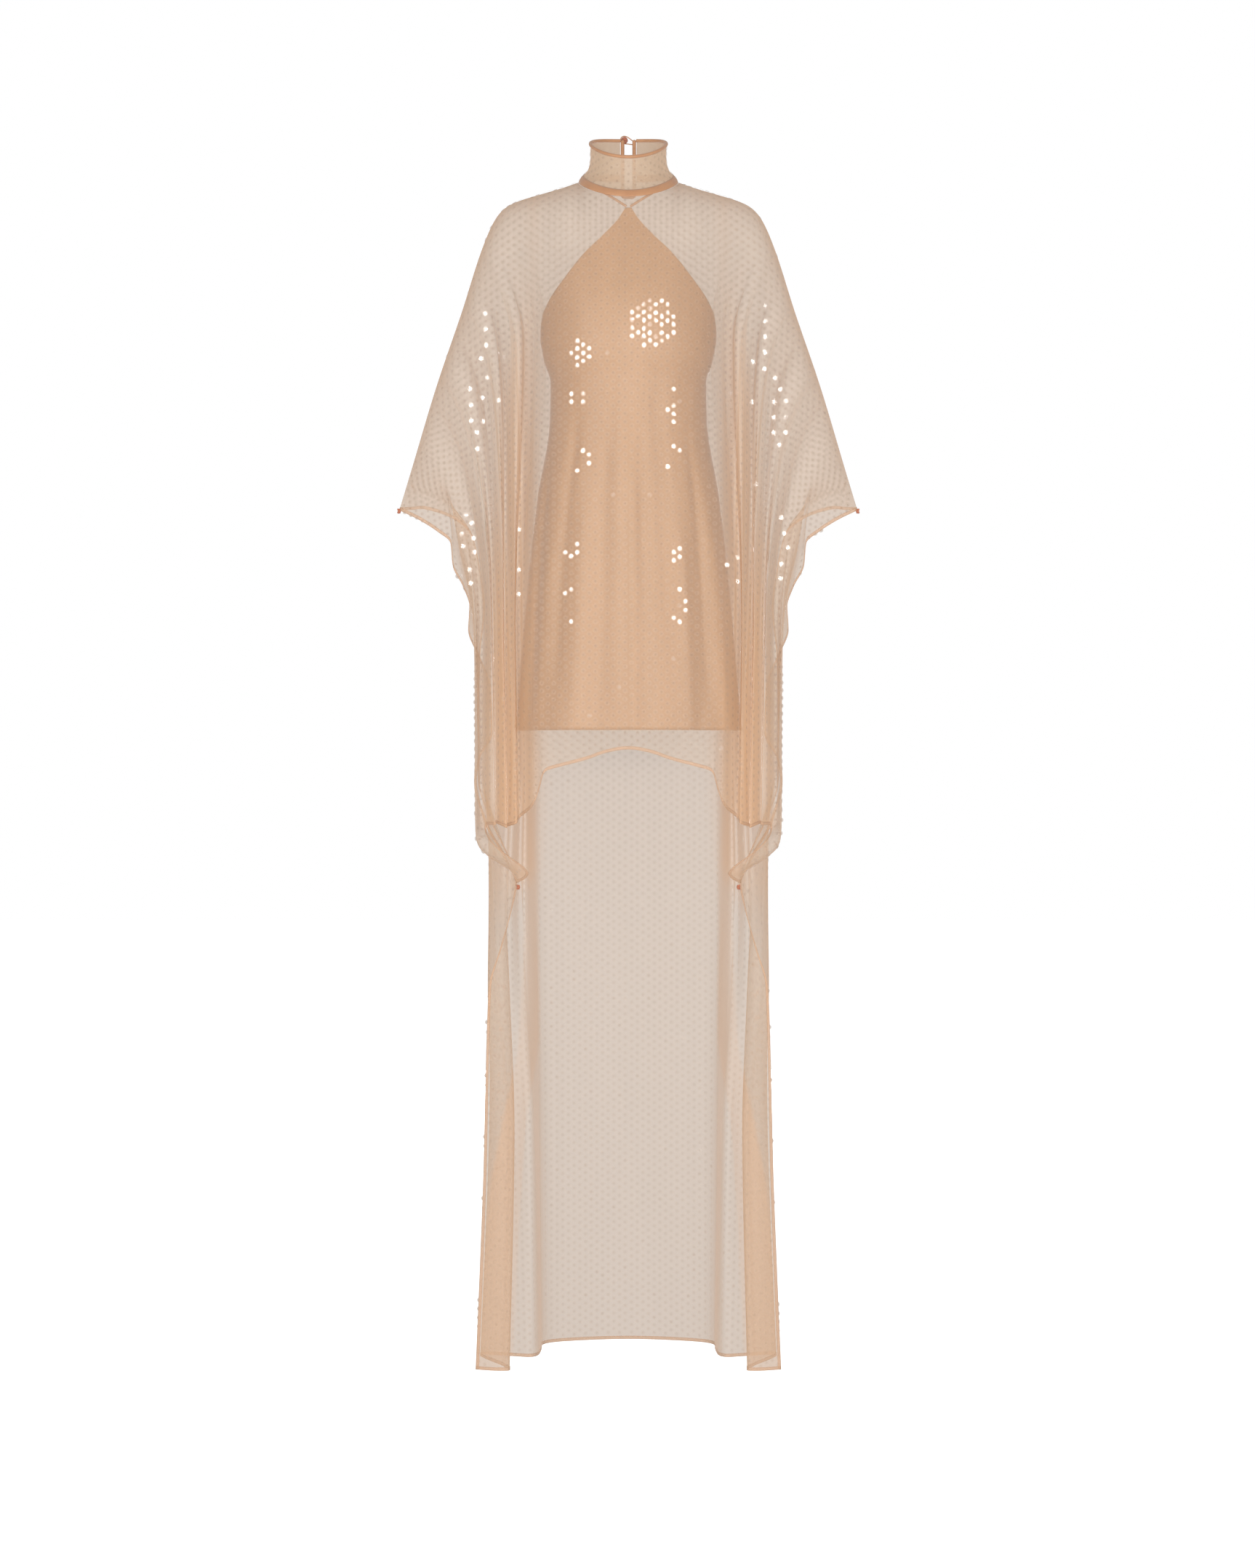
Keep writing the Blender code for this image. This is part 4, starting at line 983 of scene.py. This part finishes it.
binding_cloth = ribbed_cloth("binding_cloth", BINDING_LIGHT, BINDING_DARK, *BINDING_RIBS)
band_top = ring_net((BAND_UP,))[0]
band_low = ring_net((0.0,))[0] * (NECK_SPREAD, NECK_SPREAD, 1) - (0, 0, BAND_DROP)
share = np.linspace(0, 1, BAND_ROWS)[:, None, None]
angle = np.linspace(-BAND_ENDS, BAND_ENDS, COLLAR_COLUMNS)
outwards = np.stack([np.sin(angle), -np.cos(angle), 0 * angle], axis=-1)
bulge = BAND_BULGE * np.sin(np.pi * share) ** BAND_FULLNESS
band_net = band_top + share * (band_low - band_top) + bulge * outwards
band_run = along_line(band_low)
seam_band = sheet_of("seam_band", band_net, band_run[None, :], -lengths_down(band_net), binding_cloth, 1)
give_wall(seam_band, BAND_WALL)
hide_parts("neck_seam")

rim_cord = tube_along("rim_binding", ring_net((1.0,))[0], RIM_RADIUS, binding_cloth, BINDING_SIDES)
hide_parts("collar_binding")

slit_beside = SLIT_HALF_WIDTH + SLIT_BINDING
collar_ups = np.array((*SLIT_UPS, BAND_UP))
back_middle = panel_nets[1][0][:, len(half_flats) - 1]
slit_foot = back_middle[back_middle[:, 2] < SLIT_BOTTOM][0] + (0, 0, SLIT_BINDING + GAP)
slit_side = np.array([*ring_point(ring_end(collar_ups, slit_beside), collar_ups), band_low[-1],
                      *back_middle[back_middle[:, 2] > SLIT_BOTTOM + SLIT_CLEAR][::SLIT_ROW_STEP],
                      slit_foot + (0, 0, SLIT_BINDING)])
slit_side[:, 0] = slit_beside
slit_turn = np.array([slit_foot, slit_foot])
slit_turn[:, 0] = (SLIT_HALF_WIDTH, -SLIT_HALF_WIDTH)
slit_path = np.concatenate([slit_side, slit_turn, slit_side[::-1] * (-1, 1, 1)])
slit_line = curve_through(slit_path, SLIT_POINTS)
slit_cord = tube_along("slit_cord", slit_line, SLIT_BINDING, binding_cloth, BINDING_SIDES)
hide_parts("slit_binding")

# Straps
# Two rouleau straps of the binding's cloth, sewn into the neck seam and meeting at the slip's point.
STRAP_RADIUS = 0.0018
STRAP_POINTS = 24
STRAP_SIDES = 10
STRAP = table(
    "x y z",
    (0.0335, -0.0486, -0.0215), (0.018, -0.0572, -0.0318), (0.0032, -0.064, -0.042),
)
for name, hand in (("strap_right", -1), ("strap_left", 1)):
    path = curve_through(np.stack(list(STRAP.values()), axis=-1) * (hand, 1, 1), STRAP_POINTS)
    strap = tube_along(name + "_cord", path, STRAP_RADIUS, binding_cloth, STRAP_SIDES)
    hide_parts(name)

# Button, loop and tacks
# The collar closes with one ball button wound with thread and a loop of twisted thread. Bar tacks of the
# same dark thread hold front and back together at the wrists and at the lower ends of the sleeves.
THREAD_LIGHT, THREAD_DARK = (0.50, 0.17, 0.085), (0.34, 0.09, 0.045)
THREAD_RIBS = (0.0004, 0.5)
THREAD_SIDES = 6
BUTTON_RADIUS = 0.0050
BUTTON_CENTRE = np.array([-0.0055, 0.0588, 0.0655])
BUTTON_THREAD = 0.0007
BUTTON_TURNS = 9
BUTTON_POINTS = 260
LOOP_THREAD = 0.0007
LOOP_RADIUS = 0.0054
LOOP_Y = 0.0553
LOOP_ENDS = ((0.0084, LOOP_Y, 0.0625), (0.0084, LOOP_Y, 0.0590))
LOOP_ANGLES = (80, 280)
LOOP_ARC_POINTS = 40
LOOP_POINTS = 70
LOOP_SIDES = 8
WRIST_TACK = np.array([0.3142, -0.0200, -0.4540])  # over the corner of the cloth
SLEEVE_TACK = np.array([0.1500, -0.0550, -0.9685])
TACK_WIDTH, TACK_DEPTH, TACK_HEIGHT = 0.0018, 0.0015, 0.0058
TACK_THREAD = 0.00065
TACK_TURNS = 6
TACK_SWAY, TACK_SWAY_TURN = 0.0004, 9
TACK_POINTS = 90

thread_wound = ribbed_cloth("tack_thread", THREAD_LIGHT, THREAD_DARK, *THREAD_RIBS)
from_pole = np.linspace(0, np.pi, BUTTON_POINTS)
round_it = 2 * BUTTON_TURNS * from_pole
wound = BUTTON_CENTRE + (BUTTON_RADIUS - BUTTON_THREAD) * np.stack(
    [np.sin(from_pole) * np.cos(round_it), np.sin(from_pole) * np.sin(round_it), np.cos(from_pole)], axis=-1)
button = tube_along("button_windings", wound, BUTTON_THREAD, thread_wound, THREAD_SIDES)
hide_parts("neck_button")

turn = np.radians(np.linspace(*LOOP_ANGLES, LOOP_ARC_POINTS))
loop_path = np.stack([BUTTON_CENTRE[0] + LOOP_RADIUS * np.cos(turn), LOOP_Y + 0 * turn,
                      BUTTON_CENTRE[2] + LOOP_RADIUS * np.sin(turn)], axis=-1)
loop_path = np.concatenate([LOOP_ENDS[:1], loop_path, LOOP_ENDS[1:]])
loop_line = curve_through(loop_path, LOOP_POINTS)
loop = tube_along("loop_thread", loop_line, LOOP_THREAD, binding_cloth, LOOP_SIDES)
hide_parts("neck_loop")

turn = np.linspace(0, 1, TACK_POINTS)
round_it = 2 * np.pi * TACK_TURNS * turn
windings = np.stack([TACK_WIDTH * np.cos(round_it) + TACK_SWAY * np.sin(TACK_SWAY_TURN * turn),
                     TACK_DEPTH * np.sin(round_it), TACK_HEIGHT * (turn - 0.5)], axis=-1)
for hand, word in ((-1, "right"), (1, "left")):
    for place, node in ((WRIST_TACK, "wrist_tack_"), (SLEEVE_TACK, "sleeve_tack_")):
        path = (windings + place) * (hand, 1, 1)
        tack = tube_along(node + word + "_thread", path, TACK_THREAD, thread_wound, THREAD_SIDES)
        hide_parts(node + word)

# Sequins
# Flat clear discs with a pearly film and a hole in the middle, sewn in upright rows on both panels and the
# collar. Each one hangs at its own slight angle and now and then one throws the light back.
SEQUIN_RADIUS = 0.0035
SEQUIN_HOLE = 0.0006
RIM_SIDES, HOLE_SIDES = 8, 4
COLUMN_PITCH = 0.0080
ROW_PITCH = 0.0110
SEQUIN_LIFT = 0.0008
SEQUIN_LIFT_TURNED = 0.0014
SEQUIN_TILT = 0.035  # radians, one standard deviation
SEQUIN_SLIP = 0.0003  # metres up or down its place
SEQUIN_SEED = 41
LATTICE_LEVEL = -0.30
LATTICE_EASE = 0.45  # how much of the cloth's run front to back the rows keep step with
COLUMN_EASE = 0.2  # and the columns
SAMPLE_FLATS = np.linspace(0.0005, HALF_CUT - 0.004, 300)
SAMPLE_ROWS = 420
UPRIGHT_STEP = 0.002
LEVEL_DROP = 0.004  # the least drop from the arm line at which two columns are set level
CLEAR_TOP, CLEAR_HEM, CLEAR_SLIT = 0.005, 0.006, 0.004  # bare cloth at the arm line, hem and slit
CLEAR_RIM, CLEAR_SEAM, CLEAR_FIRST, CLEAR_LAST = 0.006, 0.004, 0.006, 0.005  # and all round the collar
LOOSE_SHARE = 0.03
LOOSE_TILT = 0.14
TURNED_TILT = 0.004
FACES_FRONT = -0.6  # the outer side of a sequin that can be turned to the light faces the camera this much
STRIP_ENDS = (-0.6, 0.2)  # heights between which a disc can be turned to a strip
STRIP_RISE = 0.53  # how much further up or down than the disc the strip is struck, from the camera's level
BODY_HALF_WIDTH = 0.12
GLINT_SPACE = (0.0093, 0.0113)  # least distance between glints on the body and on the sleeves
# Patches of the front where sequins lie turned to the light: middle, half width, half height, share turned
GLINTS = (
    (0.03, -0.205, 0.034, 0.034, 0.9), (-0.064, -0.245, 0.013, 0.02, 0.7),
    (-0.066, -0.322, 0.013, 0.034, 0.4), (0.06, -0.315, 0.012, 0.028, 0.5),
    (-0.196, -0.24, 0.007, 0.055, 0.9), (-0.208, -0.33, 0.012, 0.055, 0.95),
    (-0.176, -0.33, 0.006, 0.1, 0.25), (0.186, -0.23, 0.007, 0.055, 0.9),
    (0.203, -0.32, 0.012, 0.055, 0.95), (0.172, -0.34, 0.006, 0.1, 0.25),
    (-0.064, -0.39, 0.012, 0.02, 0.3), (0.062, -0.39, 0.012, 0.02, 0.3),
    (-0.076, -0.515, 0.01, 0.022, 0.45), (0.064, -0.515, 0.01, 0.022, 0.45),
    (-0.078, -0.59, 0.01, 0.03, 0.45), (0.066, -0.59, 0.012, 0.03, 0.45),
    (-0.218, -0.515, 0.01, 0.065, 0.6), (0.208, -0.52, 0.01, 0.065, 0.6),
    (-0.155, -0.53, 0.01, 0.09, 0.3), (0.14, -0.53, 0.01, 0.09, 0.3), (-0.16, -0.9, 0.012, 0.03, 0.3),
    (0.15, -0.9, 0.012, 0.03, 0.3),
)
# Colours and covers of a disc from its hole to its rim, the darker rim being painted shade at the disc's
# edge; the film's own cover goes in the middle
FILM_HOLE, FILM_RING = (0.25, 0.15, 0.09), (0.27, 0.16, 0.10)
FILM_MIDDLE, FILM_RIM_PAINTED_SHADE = (0.54, 0.42, 0.33), (0.34, 0.22, 0.145)
FILM_PLACES = (0.0, 0.36, 0.52, 0.86, 1.0)
HOLE_COVER, RING_COVER, RIM_COVER = 0.40, 0.36, 0.22
# Each film's strength round the hole and at the rim, its cover, roughness and index of refraction
FRONT_FILM = (0.85, 0.12, 0.30, 1.3)
BACK_FILM = (0.60, 0.09, 0.30, 1.3)
BRIGHT_FILM = (1.0, 0.12, 0.08, 1.6)


def sequin_film(name, strength, cover_of_film, roughness, index):
    """A clear disc with a pearly film, darker round its hole and, as painted shade, at its rim by the given
    strength.
    """
    made, tree, shader = new_finish(name)
    outward = finish_step(tree, "SeparateXYZ", {"Vector": cloth_uv(tree)}).outputs["X"]
    colours = (FILM_HOLE, FILM_RING, FILM_MIDDLE, FILM_MIDDLE, FILM_RIM_PAINTED_SHADE)
    hole, ring, rim = (cover * strength for cover in (HOLE_COVER, RING_COVER, RIM_COVER))
    covers = (hole, ring, cover_of_film, cover_of_film, rim)
    cover = ramp(tree, outward, *((place, (value,) * 3) for place, value in zip(FILM_PLACES, covers)))
    colour = ramp(tree, outward, *zip(FILM_PLACES, colours))
    feed(tree, shader, {"Base Color": colour, "Roughness": roughness, "IOR": index})
    make_sheer(tree, shader, cover, 0.0)
    return made


def between(at, known, values):
    """Points or directions at some places along a line, from those at known places."""
    return np.stack([np.interp(at, known, values[:, i]) for i in range(3)], axis=-1)


def sewn_places(side, hand):
    """Centres, outer directions and upright directions of the sequins on half a panel, in upright columns
    and level rows along the cloth's grain."""
    net, drop = draped(side, hand, SAMPLE_FLATS, np.linspace(0, 1, SAMPLE_ROWS))
    square = outer_normals(net, -side * hand)
    columns = range(len(SAMPLE_FLATS))
    # How far down the grain each point lies, carried on from column to column at the height where both hang
    grain = lengths_down(net * (LATTICE_EASE, LATTICE_EASE, 1.0))
    for column in columns[1:]:
        level = min(LATTICE_LEVEL, *net[0, column - 1:column + 1, 2] - LEVEL_DROP)
        before = np.interp(-level, -net[:, column - 1, 2], grain[:, column - 1])
        grain[:, column] += before - np.interp(-level, -net[:, column, 2], grain[:, column])
    rows = np.arange(int(grain.min() / ROW_PITCH * 2) - 1, int(grain.max() / ROW_PITCH * 2) + 1)
    lengths = np.clip(rows[:, None] * ROW_PITCH / 2, grain[:1], grain[-1:])
    lines, lowers, outs = (
        np.stack([between(lengths[:, c] + further, grain[:, c], values[:, c]) for c in columns], axis=1)
        for values, further in ((net, 0), (net, UPRIGHT_STEP), (square, 0)))
    places, outers, uprights = [], [], []
    for row, line, lower, out in zip(rows, lines, lowers, outs):
        at = row * ROW_PITCH / 2
        steps = np.linalg.norm(np.diff(line, axis=0)[:, :2] * (1.0, COLUMN_EASE), axis=1)
        run = np.concatenate([[0.0], np.cumsum(steps)])
        first = COLUMN_PITCH * (0.5 + (row + (hand < 0)) % 2)
        spots = np.arange(first, run[-1], 2 * COLUMN_PITCH)
        top, low = (np.interp(spots, run, grain[end]) for end in (0, -1))
        spots = spots[(at > top + CLEAR_TOP) & (at < low - CLEAR_HEM)]
        centre = between(spots, run, line)
        if side > 0:
            beside_slit = np.abs(centre[:, 0]) > SLIT_CLOTH + SEQUIN_RADIUS
            clear = beside_slit | (centre[:, 2] < SLIT_BOTTOM - CLEAR_SLIT)
            spots, centre = spots[clear], centre[clear]
        places.append(centre)
        outers.append(between(spots, run, out))
        uprights.append(centre - between(spots, run, lower))
    return np.concatenate(places), np.concatenate(outers), np.concatenate(uprights)


def turned_to_light(places, outers, chance):
    """Which sequins catch a strip of light for the camera, and the direction each of those faces."""
    caught = np.zeros(len(places), bool)
    for x, z, half_width, half_height, share in GLINTS:
        near = ((places[:, 0] - x) / half_width) ** 2 + ((places[:, 2] - z) / half_height) ** 2 < 1
        caught |= near & (chance.random(len(places)) < share) & (outers[:, 1] < FACES_FRONT)
    # Of sequins that would overlap for the camera only the foremost is turned
    kept = []
    for number in np.nonzero(caught)[0][np.argsort(places[caught, 1])]:
        beside = np.hypot(*(places[kept] - places[number])[:, [0, 2]].T)
        if np.all(beside > GLINT_SPACE[int(abs(places[number, 0]) > BODY_HALF_WIDTH)]):
            kept.append(number)
    caught[:] = False
    caught[kept] = True
    struck = np.array(STRIPS)[(places[:, 0] > 0).astype(int)]
    struck[:, 2] = np.clip(places[:, 2] + STRIP_RISE * (places[:, 2] - CAMERA_PLACE[2]), *STRIP_ENDS)
    return caught, unit(unit(struck - places) + unit(CAMERA_PLACE - places))


def sequin_piece(name, places, outers, uprights, film, chance, lit=False):
    """One joined mesh of sequins, each an eight-sided disc round a four-sided hole."""
    count = len(places)
    outers = unit(outers)
    tilt = chance.normal(0, SEQUIN_TILT, (count, 2))
    lift = np.full((count, 1), SEQUIN_LIFT)
    bright = chance.random(count) < LOOSE_SHARE
    tilt[bright] = chance.normal(0, LOOSE_TILT, (int(bright.sum()), 2))
    if lit:
        caught, facing = turned_to_light(places, outers, chance)
        outers = np.where(caught[:, None], facing, outers)
        tilt[caught] = chance.normal(0, TURNED_TILT, (int(caught.sum()), 2))
        lift[caught] = SEQUIN_LIFT_TURNED
        bright |= caught
    upright = unit(uprights - outers * np.sum(uprights * outers, axis=1, keepdims=True))
    outers = unit(outers + upright * tilt[:, :1] + np.cross(outers, upright) * tilt[:, 1:])
    upright = unit(upright - outers * np.sum(upright * outers, axis=1, keepdims=True))
    beside = np.cross(outers, upright)
    centre = places + outers * lift + chance.normal(0, SEQUIN_SLIP, (count, 1)) * upright
    rings = []
    for sides, radius in ((RIM_SIDES, SEQUIN_RADIUS), (HOLE_SIDES, SEQUIN_HOLE)):
        turn = np.linspace(0, 2 * np.pi, sides, endpoint=False)[None, :, None]
        spokes = np.cos(turn) * upright[:, None] + np.sin(turn) * beside[:, None]
        rings.append(centre[:, None] + radius * spokes)
    one = []
    for k in range(HOLE_SIDES):
        hole, next_hole = RIM_SIDES + k, RIM_SIDES + (k + 1) % HOLE_SIDES
        rim, middle, next_rim = 2 * k, 2 * k + 1, (2 * k + 2) % RIM_SIDES
        one += [(hole, rim, middle), (hole, middle, next_hole), (next_hole, middle, next_rim)]
    one = np.array(one)
    faces = (one[None] + (RIM_SIDES + HOLE_SIDES) * np.arange(count)[:, None, None]).reshape(-1, 3)
    on_rim = np.where(one < RIM_SIDES, 1.0, 0.0).reshape(-1)
    uv = np.stack([np.tile(on_rim, count), np.repeat(chance.random(count), one.size)], axis=-1)
    verts = np.concatenate(rings, axis=1).reshape(-1, 3)
    made = sewn_piece(name, verts.tolist(), faces.tolist(), uv, film, bright_film)
    made.data.polygons.foreach_set("material_index", np.repeat(bright.astype(np.int32), len(one)))
    return made


films = {-1: sequin_film("front_sequin_film", *FRONT_FILM), 1: sequin_film("back_sequin_film", *BACK_FILM)}
bright_film = sequin_film("bright_sequin_film", *BRIGHT_FILM)
chance = np.random.default_rng(SEQUIN_SEED)
for side, word in ((-1, "front"), (1, "back")):
    for hand, which in ((-1, "right"), (1, "left")):
        sewn_on[side].append(sequin_piece("sequins_%s_%s" % (word, which), *sewn_places(side, hand),
                                          films[side], chance, side < 0))
    piece, flat, cut_area = panel_cuts[side]

places, outers = [], []
collar_out = outer_normals(collar_net, 1)
for number, down in enumerate(np.arange(CLEAR_RIM, collar_drop[-1].max() - CLEAR_SEAM, ROW_PITCH / 2)):
    row = int(np.argmin(np.abs(collar_drop[:, COLLAR_COLUMNS // 2] - down)))
    first = collar_run[0] + CLEAR_FIRST + (number % 2) * COLUMN_PITCH
    for run in np.arange(first, collar_run[-1] - CLEAR_LAST, 2 * COLUMN_PITCH):
        at = int(np.argmin(np.abs(collar_run - run)))
        places.append(collar_net[row, at])
        outers.append(collar_out[row, at])
places, outers = np.array(places), np.array(outers)
uprights = np.tile((0.0, 0.0, 1.0), (len(places), 1))
collar_sequins = sequin_piece("sequins_collar", places, outers, uprights, films[-1], chance)
